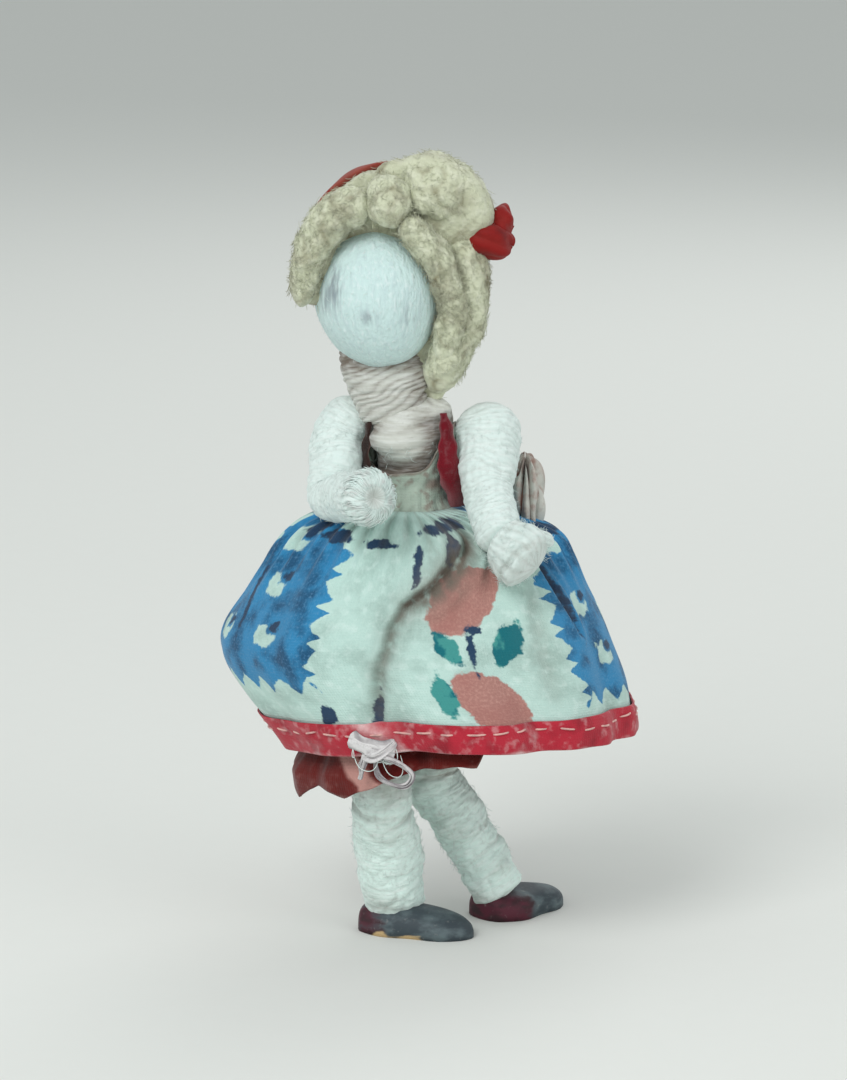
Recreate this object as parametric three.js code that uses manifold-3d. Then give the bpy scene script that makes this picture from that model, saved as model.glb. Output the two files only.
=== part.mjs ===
// A miniature doll on a bent wire frame: limbs, neck and chest wound with thread, a fibre ball for a head,
// wool hair with a ribbon, a print cotton dress with a taped hem, a petticoat and moulded shoes.
// Millimetres, +Z up. The doll faces -Y, and its own right side is on -X.
import * as THREE from "three";
import { mergeVertices } from "three/addons/utils/BufferGeometryUtils.js";
import Module from "manifold-3d";

const wasm = await Module();
wasm.setup();

// Clearances and wire
const GAP = 0.3; // air between neighbouring pieces
const WIRE_DIAMETER = 1.0;
const WIRE_RADIUS = WIRE_DIAMETER / 2;
const BORE_RADIUS = WIRE_RADIUS + GAP;
const PIN_CLEARANCE = BORE_RADIUS + GAP; // from a ball's centre to the first point of the limb's own wire
const OVERRUN = 1; // how far a cutting tool runs past the face that it opens
const CUT_REACH = 60; // the size of a tool that cuts right across the doll

// Legs: lengths run from pivot to pivot, leans are from straight down, headings are round +Z from +X
const THIGH_LENGTH = 17.2;
const SHIN_LENGTH = 14;
const HIP_SPACING = 7.8;
const HIP_RADIUS = 3.1;
const KNEE_RADIUS = 3.4;
const CALF_RADIUS = 3.8;
const ANKLE_RADIUS = 3.6;
const KNEE_NOTCH = 3.6; // how far the back of the knee is drawn down so that the shin can fold
const KNEE_LIP = 0.6;
const LIMB_SWELL = 0.5; // where along a limb it is thickest
const RIGHT_THIGH_LEAN = 24;
const RIGHT_THIGH_HEADING = -80;
const RIGHT_SHIN_LEAN = 14;
const RIGHT_SHIN_HEADING = 80;
const LEFT_THIGH_LEAN = 5;
const LEFT_THIGH_HEADING = 140;
const LEFT_SHIN_HEADING = 8;

// Shoes: the ankle pivot stands above the sole, heel and toe reach are from that pivot
const ANKLE_HEIGHT = 4.9;
const HEEL_REACH = 3.7;
const TOE_REACH = 9.0;
const SHOE_HALF_WIDTH = 3.9;
const TOE_HALF_WIDTH = 2.9;
const HEEL_HEIGHT = 3.1;
const TOE_HEIGHT = 2.6;
const RIGHT_FOOT_HEADING = -25;
const LEFT_FOOT_HEADING = 40;
// Shares of the half width and of the height, from the heel at 0 to the toe at 1
const TOE_SHARE = TOE_HALF_WIDTH / SHOE_HALF_WIDTH;
const SHOE_WIDTHS = [[0, 0.5], [0.08, 0.8], [0.3, 1], [0.55, 0.86], [0.8, TOE_SHARE + 0.08], [1, 0.34]];
const TOE_DROP = TOE_HEIGHT / HEEL_HEIGHT;
const SHOE_HEIGHTS = [[0, 0.8], [0.1, 1], [0.5, 1], [0.85, TOE_DROP], [1, 0.55 * TOE_DROP]];

// Trunk: heights are above the hip pivots
const BODY_X = -2.3;
const SEAT_RISE = 3.9;
const WAIST_RISE = 13.6;
const SHOULDER_RISE = 22.1;
const TORSO_TOP_RISE = 26.2;
const CHEST_RISE = 20.0;
const SEAT_HALF_WIDTH = 4.0;
const WAIST_HALF_WIDTH = 3.5;
const CHEST_HALF_WIDTH = 3.9;
const SHOULDER_HALF_WIDTH = 4.5;
const COLLAR_HALF_WIDTH = 3.8;
const WAIST_HALF_DEPTH = 3.4;
const CHEST_HALF_DEPTH = 4.2;
const SHOULDER_HALF_DEPTH = 3.9;
const COLLAR_HALF_DEPTH = 3.2;

// Neck and head: the neck pivot is placed from the shoulder line, the head from the neck pivot
const NECK_SHIFT = -2.4;
const NECK_SWELL = 0.35;
const NECK_SHARE = 0.6; // how much of the way to the head's centre is wound as neck
const NECK_PIVOT_RISE = 5.3;
const NECK_BALL_RADIUS = 4.0;
const NECK_RADIUS = 4.7;
const NECK_LENGTH = 10.5;
const HEAD_RADIUS = 7.4;
const HEAD_LEAN = 6.5;

// Arms
const SHOULDER_SPACING = 16.4;
const SHOULDER_SHIFT = 0.4;
const UPPER_ARM_LENGTH = 7.4;
const FOREARM_LENGTH = 6.6;
const HAND_LENGTH = 4.6;
const HAND_RADIUS = 2.8;
const RIGHT_SHOULDER_RADIUS = 3.1;
const LEFT_SHOULDER_RADIUS = 3.8;
const ELBOW_RADIUS = 2.8;
const WRIST_RADIUS = 2.7;
const ELBOW_NOTCH = 3.9;
const ELBOW_LIP = 0.15;
// Which way each stretch of an arm points, and the side that its elbow folds toward
const RIGHT_ARM = {
  upper: new THREE.Vector3(-0.15, -0.5, -0.86).normalize(),
  fore: new THREE.Vector3(0.54, -0.82, 0.15).normalize(),
  hand: new THREE.Vector3(0.54, -0.82, 0.15).normalize(),
  fold: new THREE.Vector3(0.15, 0.5, 0.86).normalize(),
};
const LEFT_ARM = {
  upper: new THREE.Vector3(0.12, -0.62, -0.77).normalize(),
  fore: new THREE.Vector3(0.3, -0.74, -0.6).normalize(),
  hand: new THREE.Vector3(0.75, -0.4, -0.53).normalize(),
  fold: new THREE.Vector3(0, -1, 1).normalize(),
};

// Dress: the skirt hangs from the waist, its reaches are the cloth's outer face from the part's axis
const CLOTH_THICKNESS = 0.7;
const BODICE_THICKNESS = 0.5;
const BODICE_TOP_RISE = 21.2;
const BODICE_SKIRT_OVERLAP = 1.6;
const NECKLINE_RADIUS = 4.4;
const NECKLINE_SHIFT = 1.0;
const NECKLINE_RISE = 1.0;
const SKIRT_LENGTH = 25.6;
const SKIRT_CROWN = 0.6;
const CROWN_SHARE = 0.09; // the share of the skirt's length over which its gathered crown falls away
const FOLD_START = 0.1;
const FOLD_FULL = 0.85;
const WAIST_CLOTH = GAP + BODICE_THICKNESS + GAP + CLOTH_THICKNESS; // what is worn round the waist
const SKIRT_LEFT_REACH = 23.5; // at the widest, towards -X
const SKIRT_RIGHT_REACH = 22.9;
const SKIRT_FRONT_REACH = 18.4;
const SKIRT_BACK_REACH = 18.4;
// Rows down the skirt's length: the share of each reach that it has spread to
const SKIRT_FLARE = [
  {
    at: 0,
    left: (WAIST_HALF_WIDTH + WAIST_CLOTH - BODY_X) / SKIRT_LEFT_REACH,
    right: (WAIST_HALF_WIDTH + WAIST_CLOTH + BODY_X) / SKIRT_RIGHT_REACH,
    front: (WAIST_HALF_DEPTH + WAIST_CLOTH) / SKIRT_FRONT_REACH,
    back: (WAIST_HALF_DEPTH + WAIST_CLOTH) / SKIRT_BACK_REACH,
  },
  { at: 0.04, left: 0.553, right: 0.419, front: 0.38, back: 0.435 },
  { at: 0.09, left: 0.668, right: 0.594, front: 0.446, back: 0.533 },
  { at: 0.2, left: 0.77, right: 0.69, front: 0.565, back: 0.641 },
  { at: 0.36, left: 0.887, right: 0.777, front: 0.707, back: 0.75 },
  { at: 0.58, left: 1, right: 0.886, front: 0.848, back: 0.87 },
  { at: 0.8, left: 0.877, right: 0.969, front: 0.946, back: 0.951 },
  { at: 1, left: 0.698, right: 1, front: 1, back: 1 },
  { at: 1.25, left: 0.634, right: 1.004, front: 1.027, back: 1.027 },
];
const SKIRT_FOLDS = [
  { heading: -107, depth: 1.9, spread: 9 },
  { heading: -62, depth: 1.3, spread: 8 },
  { heading: -24, depth: 1.2, spread: 8 },
  { heading: 38, depth: 1.3, spread: 10 },
  { heading: 72, depth: 1.2, spread: 8 },
  { heading: 118, depth: 1.4, spread: 9 },
  { heading: 152, depth: 1.2, spread: 9 },
  { heading: 207, depth: 1.3, spread: 8 },
];
const HEM_TILT = 0.6; // how far the hem rises on the doll's left and dips on its right
const HEM_FRONT_RISE = 2.1; // how far the hem rises in front
const TAPE_WIDTH = 3.4;
const TAPE_THICKNESS = 0.5;
const PETTICOAT_SPACE = 0.9;
const PETTICOAT_THICKNESS = 0.6;
const PETTICOAT_DROP = 6.2; // how far the petticoat's low corner hangs past the hem
const PETTICOAT_LOW_HEADING = -162;
const PETTICOAT_POINT = 3; // higher makes the low corner narrower
const PETTICOAT_TUCK = 0.5; // how far it stays above the hem on the far side
const PETTICOAT_TOP = 0.13; // the share of the skirt's length where it is sewn in
const STRAP_WIDTH = 2.2;
const STRAP_THICKNESS = 0.5;
const STRAP_INSET = 3.8;
const STRAP_TOP_RISE = 23.4;
const RUFFLE_HALF_SIZE = [2.2, 3.0, 4.0]; // the skirt's gathered heading, standing up behind the left arm
const RUFFLE_SIDE_SHIFT = 4.4;
const RUFFLE_BACK_SHIFT = 2.4;
const RUFFLE_RISE = 0.9;

// Hair and ribbon: places and sizes are in head radii, from the centre of the head
const CAP_HALF_SIZE = new THREE.Vector3(1.26, 1.189, 1.53);
const CAP_SHIFT = new THREE.Vector3(0.17, 0.162, 0.34);
const CAP_FRONT = -0.081;
const CAP_NAPE = -0.73;
const HAIR_LOCKS = [
  {
    name: "crown_roll",
    path: [[0.2, -0.38, 1.66], [0.64, -0.35, 1.75], [1.1, -0.3, 1.64], [1.46, -0.24, 1.28]],
    radii: [0.38, 0.53, 0.51, 0.35],
  },
  {
    name: "forelock",
    path: [[0.32, -0.65, 1.78], [0.3, -0.89, 1.51], [0.38, -1.05, 1.16], [0.49, -1.08, 0.84]],
    radii: [0.26, 0.36, 0.34, 0.19],
  },
  {
    name: "right_side_lock",
    path: [
      [-0.02, -0.68, 1.55], [-0.5, -0.65, 1.45], [-0.84, -0.57, 1.06],
      [-1.0, -0.49, 0.54], [-1.12, -0.43, 0.03],
    ],
    radii: [0.24, 0.3, 0.32, 0.26, 0.14],
  },
  {
    name: "left_front_lock",
    path: [[0.73, -0.89, 0.97], [0.95, -0.78, 0.51], [1.04, -0.7, 0.04], [0.95, -0.65, -0.46]],
    radii: [0.23, 0.3, 0.28, 0.16],
  },
  {
    name: "left_side_lock",
    path: [
      [1.24, -0.3, 0.97], [1.36, -0.27, 0.27], [1.26, -0.24, -0.38],
      [1.08, -0.22, -0.97], [0.96, -0.19, -1.43],
    ],
    radii: [0.28, 0.34, 0.34, 0.24, 0.15],
  },
];
const LOCK_BLUNTNESS = 8; // higher keeps a lock's ends fuller
const LOCK_TIP = 0.02;
const BAND_WIDTH = 3.0;
const BAND_THICKNESS = 0.6;
const BAND_BACK = 0.43;
const KNOT_LOBES = [
  { place: [1.65, -0.22, 0.86], halfSize: [0.34, 0.3, 0.27], tilt: 15 },
  { place: [1.8, -0.08, 1.22], halfSize: [0.19, 0.28, 0.3], tilt: 12 },
];

// Facets
const LIMB_SIDES = 12;
const LIMB_RINGS = 6;
const BALL_RINGS = 3;
const BALL_POLE = 18; // the angle off a ball's pole where its rings begin
const WIRE_SIDES = 8;
const WIRE_TIP_RINGS = 2;
const SPINE_RINGS = 14;
const MERGE_DISTANCE = 1e-4;
const TRUNK_SIDES = 20;
const TRUNK_RINGS = 9;
const SKIRT_SIDES = 48;
const SKIRT_RINGS = 9;
const FLARE_SPACING = 1.5; // above 1 it sets the cloth's rings closer at the waist
const PETTICOAT_SIDES = 36;
const PETTICOAT_RINGS = 6;
const TAPE_RINGS = 1;
const SHOE_STATIONS = 8;
const SHOE_ARCH = 8;
const LOCK_SIDES = 10;
const LOCK_RINGS = 10;
const HEAD_SIDES = 20;
const HEAD_RINGS = 12;

const UP = new THREE.Vector3(0, 0, 1);
const RIGHTWARD = new THREE.Vector3(1, 0, 0);
const BACKWARD = new THREE.Vector3(0, 1, 0);
const radians = THREE.MathUtils.degToRad;

// A direction leaning from straight down toward a heading.
function leaning(lean, heading) {
  const reach = Math.sin(radians(lean));
  const turn = radians(heading);
  return new THREE.Vector3(reach * Math.cos(turn), reach * Math.sin(turn), -Math.cos(radians(lean)));
}

function along(point, direction, distance) {
  return point.clone().addScaledVector(direction, distance);
}

// The skeleton's pivots, worked up from the floor through the right leg
const rightThighAim = leaning(RIGHT_THIGH_LEAN, RIGHT_THIGH_HEADING);
const rightShinAim = leaning(RIGHT_SHIN_LEAN, RIGHT_SHIN_HEADING);
const HIP_HEIGHT = ANKLE_HEIGHT - THIGH_LENGTH * rightThighAim.z - SHIN_LENGTH * rightShinAim.z;
const rightHip = new THREE.Vector3(BODY_X - HIP_SPACING / 2, 0, HIP_HEIGHT);
const leftHip = new THREE.Vector3(BODY_X + HIP_SPACING / 2, 0, HIP_HEIGHT);
const rightKnee = along(rightHip, rightThighAim, THIGH_LENGTH);
const rightAnkle = along(rightKnee, rightShinAim, SHIN_LENGTH);
const leftThighAim = leaning(LEFT_THIGH_LEAN, LEFT_THIGH_HEADING);
const leftKnee = along(leftHip, leftThighAim, THIGH_LENGTH);
const leftShinLean = THREE.MathUtils.radToDeg(Math.acos((leftKnee.z - ANKLE_HEIGHT) / SHIN_LENGTH));
const leftShinAim = leaning(leftShinLean, LEFT_SHIN_HEADING);
const leftAnkle = along(leftKnee, leftShinAim, SHIN_LENGTH);

const SEAT_HEIGHT = HIP_HEIGHT + SEAT_RISE;
const WAIST_HEIGHT = HIP_HEIGHT + WAIST_RISE;
const CHEST_HEIGHT = HIP_HEIGHT + CHEST_RISE;
const SHOULDER_HEIGHT = HIP_HEIGHT + SHOULDER_RISE;
const TORSO_TOP = HIP_HEIGHT + TORSO_TOP_RISE;
const shoulderMiddle = new THREE.Vector3(BODY_X + SHOULDER_SHIFT, 0, SHOULDER_HEIGHT);
const rightShoulder = along(shoulderMiddle, RIGHTWARD, -SHOULDER_SPACING / 2);
const leftShoulder = along(shoulderMiddle, RIGHTWARD, SHOULDER_SPACING / 2);
const neckPivot = new THREE.Vector3(BODY_X + NECK_SHIFT, 0, SHOULDER_HEIGHT + NECK_PIVOT_RISE);
const neckAim = leaning(180 - HEAD_LEAN, 180);
const headCentre = along(neckPivot, neckAim, NECK_LENGTH);

// Turns a list of equal rings into a closed solid: capped at both ends, or joined end to end round a bore.
function loft(rings, joined = false) {
  const sides = rings[0].length;
  const points = rings.flat();
  const triangles = [];
  const bands = joined ? rings.length : rings.length - 1;
  for (let i = 0; i < bands; i++) {
    const here = i * sides;
    const next = ((i + 1) % rings.length) * sides;
    for (let k = 0; k < sides; k++) {
      const beside = (k + 1) % sides;
      triangles.push(here + k, here + beside, next + beside, here + k, next + beside, next + k);
    }
  }
  if (!joined) {
    const first = points.length;
    points.push(middle(rings[0]), middle(rings.at(-1)));
    const last = (rings.length - 1) * sides;
    for (let k = 0; k < sides; k++) {
      const beside = (k + 1) % sides;
      triangles.push(first, beside, k, first + 1, last + k, last + beside);
    }
  }
  const geometry = new THREE.BufferGeometry().setFromPoints(points);
  geometry.setIndex(triangles);
  return facingOut(geometry);
}

function middle(ring) {
  return ring.reduce((sum, point) => sum.add(point), new THREE.Vector3()).divideScalar(ring.length);
}

// Reverses every triangle of a solid whose faces point inwards.
function facingOut(geometry) {
  const position = geometry.getAttribute("position");
  const index = geometry.getIndex().array;
  const corner = [new THREE.Vector3(), new THREE.Vector3(), new THREE.Vector3()];
  let volume = 0;
  for (let i = 0; i < index.length; i += 3) {
    corner.forEach((point, k) => point.fromBufferAttribute(position, index[i + k]));
    volume += corner[0].dot(corner[1].clone().cross(corner[2]));
  }
  if (volume < 0) {
    for (let i = 0; i < index.length; i += 3) [index[i + 1], index[i + 2]] = [index[i + 2], index[i + 1]];
  }
  return geometry;
}

function solidOf(geometry) {
  const bare = new THREE.BufferGeometry();
  bare.setAttribute("position", geometry.getAttribute("position"));
  if (geometry.getIndex()) bare.setIndex(geometry.getIndex());
  const merged = mergeVertices(bare, MERGE_DISTANCE);
  return new wasm.Manifold(
    new wasm.Mesh({
      numProp: 3,
      vertProperties: new Float32Array(merged.getAttribute("position").array),
      triVerts: new Uint32Array(merged.getIndex().array),
    }),
  );
}

function geometryOf(solid) {
  const mesh = solid.getMesh();
  const geometry = new THREE.BufferGeometry();
  geometry.setAttribute("position", new THREE.Float32BufferAttribute(mesh.vertProperties, 3));
  geometry.setIndex(Array.from(mesh.triVerts));
  return geometry;
}

// Cuts each of the tools out of a geometry.
function cut(geometry, ...tools) {
  return geometryOf(tools.reduce((solid, tool) => solid.subtract(solidOf(tool)), solidOf(geometry)));
}

function common(first, second) {
  return geometryOf(solidOf(first).intersect(solidOf(second)));
}

// Straight runs between the listed values, eased at each one.
function eased(stations, t) {
  const last = stations.length - 1;
  const found = stations.findIndex((station) => station[0] > t);
  const i = found < 0 ? last - 1 : Math.max(found - 1, 0);
  const slope = (k) => {
    const a = stations[Math.max(k - 1, 0)];
    const b = stations[Math.min(k + 1, last)];
    return (b[1] - a[1]) / (b[0] - a[0]);
  };
  const [x0, y0] = stations[i];
  const [x1, y1] = stations[i + 1];
  const span = x1 - x0;
  const u = (t - x0) / span;
  const rise = u * u * (3 - 2 * u);
  const lead = span * (u * u * u - 2 * u * u + u);
  const tail = span * (u * u * u - u * u);
  return y0 + (y1 - y0) * rise + slope(i) * lead + slope(i + 1) * tail;
}

function steps(count) {
  return Array.from({ length: count + 1 }, (_, i) => i / count);
}

// A ring round the Z axis. Lift raises its +X side and lowers its -X side.
function roundRing(radius, height, lift = 0, sides = LIMB_SIDES) {
  return Array.from({ length: sides }, (_, k) => {
    const turn = (2 * Math.PI * k) / sides;
    return new THREE.Vector3(radius * Math.cos(turn), radius * Math.sin(turn), height + lift * Math.cos(turn));
  });
}

// Rings of a ball's cap, from an angle off its pole to its equator.
function ballRings(radius, centre, fromAngle, toAngle, direction) {
  return steps(BALL_RINGS).map((s) => {
    const angle = fromAngle + (toAngle - fromAngle) * s;
    return roundRing(radius * Math.sin(angle), centre + direction * radius * Math.cos(angle));
  });
}

// A wound limb that starts and ends in a ball on its pivots, with a blind bore up its far end for the wire.
// It runs along +Z from the first pivot.
function upperLimb(length, startRadius, swell, endRadius, boreStart) {
  const endBall = endRadius - GAP;
  const start = ballRings(startRadius, 0, radians(BALL_POLE), Math.PI / 2, -1);
  const shank = steps(LIMB_RINGS)
    .slice(1)
    .map((s) => {
      const radius = eased([[0, startRadius], [LIMB_SWELL, swell], [1, endRadius]], s);
      return roundRing(radius, (length - GAP) * s);
    });
  const end = ballRings(endBall, length, Math.PI / 2, Math.asin(BORE_RADIUS / endBall), 1);
  return loft([...start, ...shank, ...end, roundRing(BORE_RADIUS, boreStart)]);
}

// A wound limb whose near end is hollowed to turn on its neighbour's ball, with its +X side cut back to fold,
// and bored right through for the wire. It runs along +Z from its pivot.
function lowerLimb(length, ball, notch, lip, startRadius, swell, endRadius, endRings) {
  const socket = ball + GAP;
  const rimHeight = (notch + lip) / 2;
  const rimLift = (notch - lip) / 2;
  const cup = steps(BALL_RINGS).map((s) => {
    const radius = BORE_RADIUS + (startRadius - BORE_RADIUS) * s;
    const bowl = Math.sqrt(Math.max(socket * socket - radius * radius, 0));
    return roundRing(radius, 0).map((point) => {
      const face = rimHeight + (rimLift * point.x) / startRadius;
      return point.setZ(Math.max(bowl, face));
    });
  });
  const shank = steps(LIMB_RINGS)
    .slice(1)
    .map((s) => {
      const radius = eased([[0, startRadius], [LIMB_SWELL, swell], [1, endRadius]], s);
      const rim = cup.at(-1);
      return roundRing(radius, 0).map((point, k) => point.setZ(rim[k].z + (length - rim[k].z) * s));
    });
  return loft([...cup, ...shank, ...endRings], true);
}

// A straight wire with rounded ends between two points.
function wireBetween(from, to) {
  const span = to.clone().sub(from);
  const straight = span.length() - WIRE_DIAMETER;
  const geometry = new THREE.CapsuleGeometry(WIRE_RADIUS, straight, WIRE_TIP_RINGS, WIRE_SIDES);
  geometry.applyQuaternion(new THREE.Quaternion().setFromUnitVectors(BACKWARD, span.normalize()));
  return geometry.translate((from.x + to.x) / 2, (from.y + to.y) / 2, (from.z + to.z) / 2);
}

function boreBetween(from, to, radius = BORE_RADIUS) {
  const span = to.clone().sub(from);
  const geometry = new THREE.CylinderGeometry(radius, radius, span.length(), LIMB_SIDES);
  geometry.applyQuaternion(new THREE.Quaternion().setFromUnitVectors(BACKWARD, span.normalize()));
  return geometry.translate((from.x + to.x) / 2, (from.y + to.y) / 2, (from.z + to.z) / 2);
}

function ball(radius, centre, sides = HEAD_SIDES, rings = HEAD_RINGS) {
  return new THREE.SphereGeometry(radius, sides, rings).translate(centre.x, centre.y, centre.z);
}

// A ball drawn out to its own half size along each axis
function egg(halfSize) {
  return new THREE.SphereGeometry(1, LIMB_SIDES, LIMB_SIDES / 2).scale(...halfSize);
}

const doll = new THREE.Group();

function finish(color, roughness, metalness = 0) {
  return new THREE.MeshStandardMaterial({ color, roughness, metalness });
}

const THREAD = finish("#dce6e2", 0.9);
const WIRE = finish("#8d8f90", 0.4, 0.9);
const FIBRE = finish("#d6e8e6", 0.95);
const WOOL = finish("#c3c3a5", 0.95);
const RIBBON = finish("#a5140f", 0.7);
const PRINT = finish("#d0dcd6", 0.9);
const TAPE = finish("#c32d41", 0.85);
const STRAP = finish("#6e0a19", 0.85);
const PETTICOAT = finish("#82281f", 0.9);
const SHOE = finish("#414b50", 0.5);

function add(name, geometry, material, group = doll) {
  const mesh = new THREE.Mesh(geometry, material);
  mesh.name = name;
  group.add(mesh);
}

// A group at a pivot whose +Z runs along a limb and whose +X faces the side it folds toward.
function limbGroup(pivot, aim, foldSide) {
  const z = aim.clone().normalize();
  const x = foldSide.clone().addScaledVector(z, -foldSide.dot(z)).normalize();
  const y = z.clone().cross(x);
  const group = new THREE.Group();
  group.quaternion.setFromRotationMatrix(new THREE.Matrix4().makeBasis(x, y, z));
  group.position.copy(pivot);
  doll.add(group);
  return group;
}

// The hole through a limb's ball for the wire that it hangs on, which lies along the doll's X
function pinBore(group, radius) {
  const inward = RIGHTWARD.clone().applyQuaternion(group.quaternion.clone().invert());
  return boreBetween(inward.clone().multiplyScalar(-2 * radius), inward.clone().multiplyScalar(2 * radius));
}

function buildUpperLimb(name, pivot, aim, length, radii) {
  const group = limbGroup(pivot, aim, BACKWARD);
  const reach = length + radii.end - GAP;
  const wrap = upperLimb(length, radii.start, radii.swell, radii.end, PIN_CLEARANCE + GAP);
  add(`${name}_wrap`, cut(wrap, pinBore(group, radii.start)), THREAD, group);
  const wireStart = new THREE.Vector3(0, 0, PIN_CLEARANCE + 2 * GAP);
  add(`${name}_wire`, wireBetween(wireStart, new THREE.Vector3(0, 0, reach - GAP)), WIRE, group);
}

function buildArm(side, shoulder, shoulderRadius, { upper, fore, hand, fold }) {
  const elbow = along(shoulder, upper, UPPER_ARM_LENGTH);
  const radii = { start: shoulderRadius, swell: (shoulderRadius + ELBOW_RADIUS) / 2, end: ELBOW_RADIUS };
  buildUpperLimb(`${side}_upper_arm`, shoulder, upper, UPPER_ARM_LENGTH, radii);

  const elbowBall = ELBOW_RADIUS - GAP;
  const group = limbGroup(elbow, fore, fold);
  const end = [roundRing(BORE_RADIUS, FOREARM_LENGTH)];
  const wrap = lowerLimb(
    FOREARM_LENGTH, elbowBall, ELBOW_NOTCH, ELBOW_LIP, ELBOW_RADIUS, ELBOW_RADIUS + GAP / 2, WRIST_RADIUS, end,
  );
  add(`${side}_forearm_wrap`, wrap, THREAD, group);
  const palm = HAND_LENGTH / 2;
  const wireStart = new THREE.Vector3(0, 0, elbowBall + GAP);
  const wireEnd = new THREE.Vector3(0, 0, FOREARM_LENGTH + palm);
  add(`${side}_forearm_wire`, wireBetween(wireStart, wireEnd), WIRE, group);

  const wrist = along(elbow, fore, FOREARM_LENGTH + GAP);
  const mitt = egg([HAND_RADIUS, palm + GAP, HAND_RADIUS]);
  const centre = along(wrist, hand, palm);
  mitt.applyQuaternion(new THREE.Quaternion().setFromUnitVectors(BACKWARD, hand));
  mitt.translate(centre.x, centre.y, centre.z);
  const wireBore = boreBetween(elbow, along(elbow, fore, FOREARM_LENGTH + palm + GAP));
  const forearmEnd = boreBetween(elbow, wrist, 2 * WRIST_RADIUS);
  add(`${side}_hand`, cut(mitt, wireBore, forearmEnd), THREAD);
}

// A shoe's cross section at a share of its length from heel to toe
function shoeStation(s) {
  const x = -HEEL_REACH + (HEEL_REACH + TOE_REACH) * s;
  const halfWidth = SHOE_HALF_WIDTH * eased(SHOE_WIDTHS, s);
  const height = HEEL_HEIGHT * eased(SHOE_HEIGHTS, s);
  const arch = steps(SHOE_ARCH).map((u) => {
    const angle = Math.PI * u;
    const rise = Math.sqrt(Math.sin(angle));
    return new THREE.Vector3(x, halfWidth * Math.cos(angle), height * rise);
  });
  return [...arch, new THREE.Vector3(x, 0, 0)];
}

function buildLeg(side, hip, knee, ankle, thighAim, shinAim, footHeading) {
  const radii = { start: HIP_RADIUS, swell: KNEE_RADIUS + GAP, end: KNEE_RADIUS };
  buildUpperLimb(`${side}_thigh`, hip, thighAim, THIGH_LENGTH, radii);

  const kneeBall = KNEE_RADIUS - GAP;
  const group = limbGroup(knee, shinAim, BACKWARD);
  const boreAngle = Math.asin(BORE_RADIUS / ANKLE_RADIUS);
  const ankleRings = ballRings(ANKLE_RADIUS, SHIN_LENGTH, Math.PI / 2, boreAngle, 1);
  const wrap = lowerLimb(
    SHIN_LENGTH, kneeBall, KNEE_NOTCH, KNEE_LIP, KNEE_RADIUS, CALF_RADIUS, ANKLE_RADIUS, ankleRings.slice(1),
  );
  add(`${side}_shin_wrap`, wrap, THREAD, group);
  const wireStart = new THREE.Vector3(0, 0, kneeBall + GAP);
  const wireEnd = new THREE.Vector3(0, 0, SHIN_LENGTH + ANKLE_RADIUS - GAP);
  add(`${side}_shin_wire`, wireBetween(wireStart, wireEnd), WIRE, group);

  const foot = new THREE.Group();
  foot.position.set(ankle.x, ankle.y, 0);
  foot.rotation.z = radians(footHeading);
  doll.add(foot);
  const upper = loft(steps(SHOE_STATIONS).map(shoeStation));
  const socket = ball(ANKLE_RADIUS + GAP, new THREE.Vector3(0, 0, ANKLE_HEIGHT), LIMB_SIDES, LIMB_SIDES);
  add(`${side}_shoe`, cut(upper, socket), SHOE, foot);
}

// The trunk's outline at a height: centre, half width and half depth, grown outwards by a clearance
function trunkRing(height, grow) {
  const widths = [
    [SEAT_HEIGHT, SEAT_HALF_WIDTH],
    [WAIST_HEIGHT, WAIST_HALF_WIDTH],
    [CHEST_HEIGHT, CHEST_HALF_WIDTH],
    [SHOULDER_HEIGHT, SHOULDER_HALF_WIDTH],
    [TORSO_TOP, COLLAR_HALF_WIDTH],
  ];
  const depths = [
    [SEAT_HEIGHT, WAIST_HALF_DEPTH],
    [WAIST_HEIGHT, WAIST_HALF_DEPTH],
    [CHEST_HEIGHT, CHEST_HALF_DEPTH],
    [SHOULDER_HEIGHT, SHOULDER_HALF_DEPTH],
    [TORSO_TOP, COLLAR_HALF_DEPTH],
  ];
  const halfWidth = eased(widths, height) + grow;
  const halfDepth = eased(depths, height) + grow;
  const lift = grow * THREE.MathUtils.smoothstep(height, CHEST_HEIGHT, TORSO_TOP);
  return roundRing(1, 0, 0, TRUNK_SIDES).map(
    (point) => new THREE.Vector3(BODY_X + halfWidth * point.x, halfDepth * point.y, height + lift),
  );
}

function trunk(from, to, grow) {
  return loft(steps(TRUNK_RINGS).map((s) => trunkRing(from + (to - from) * s, grow)));
}

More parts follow.
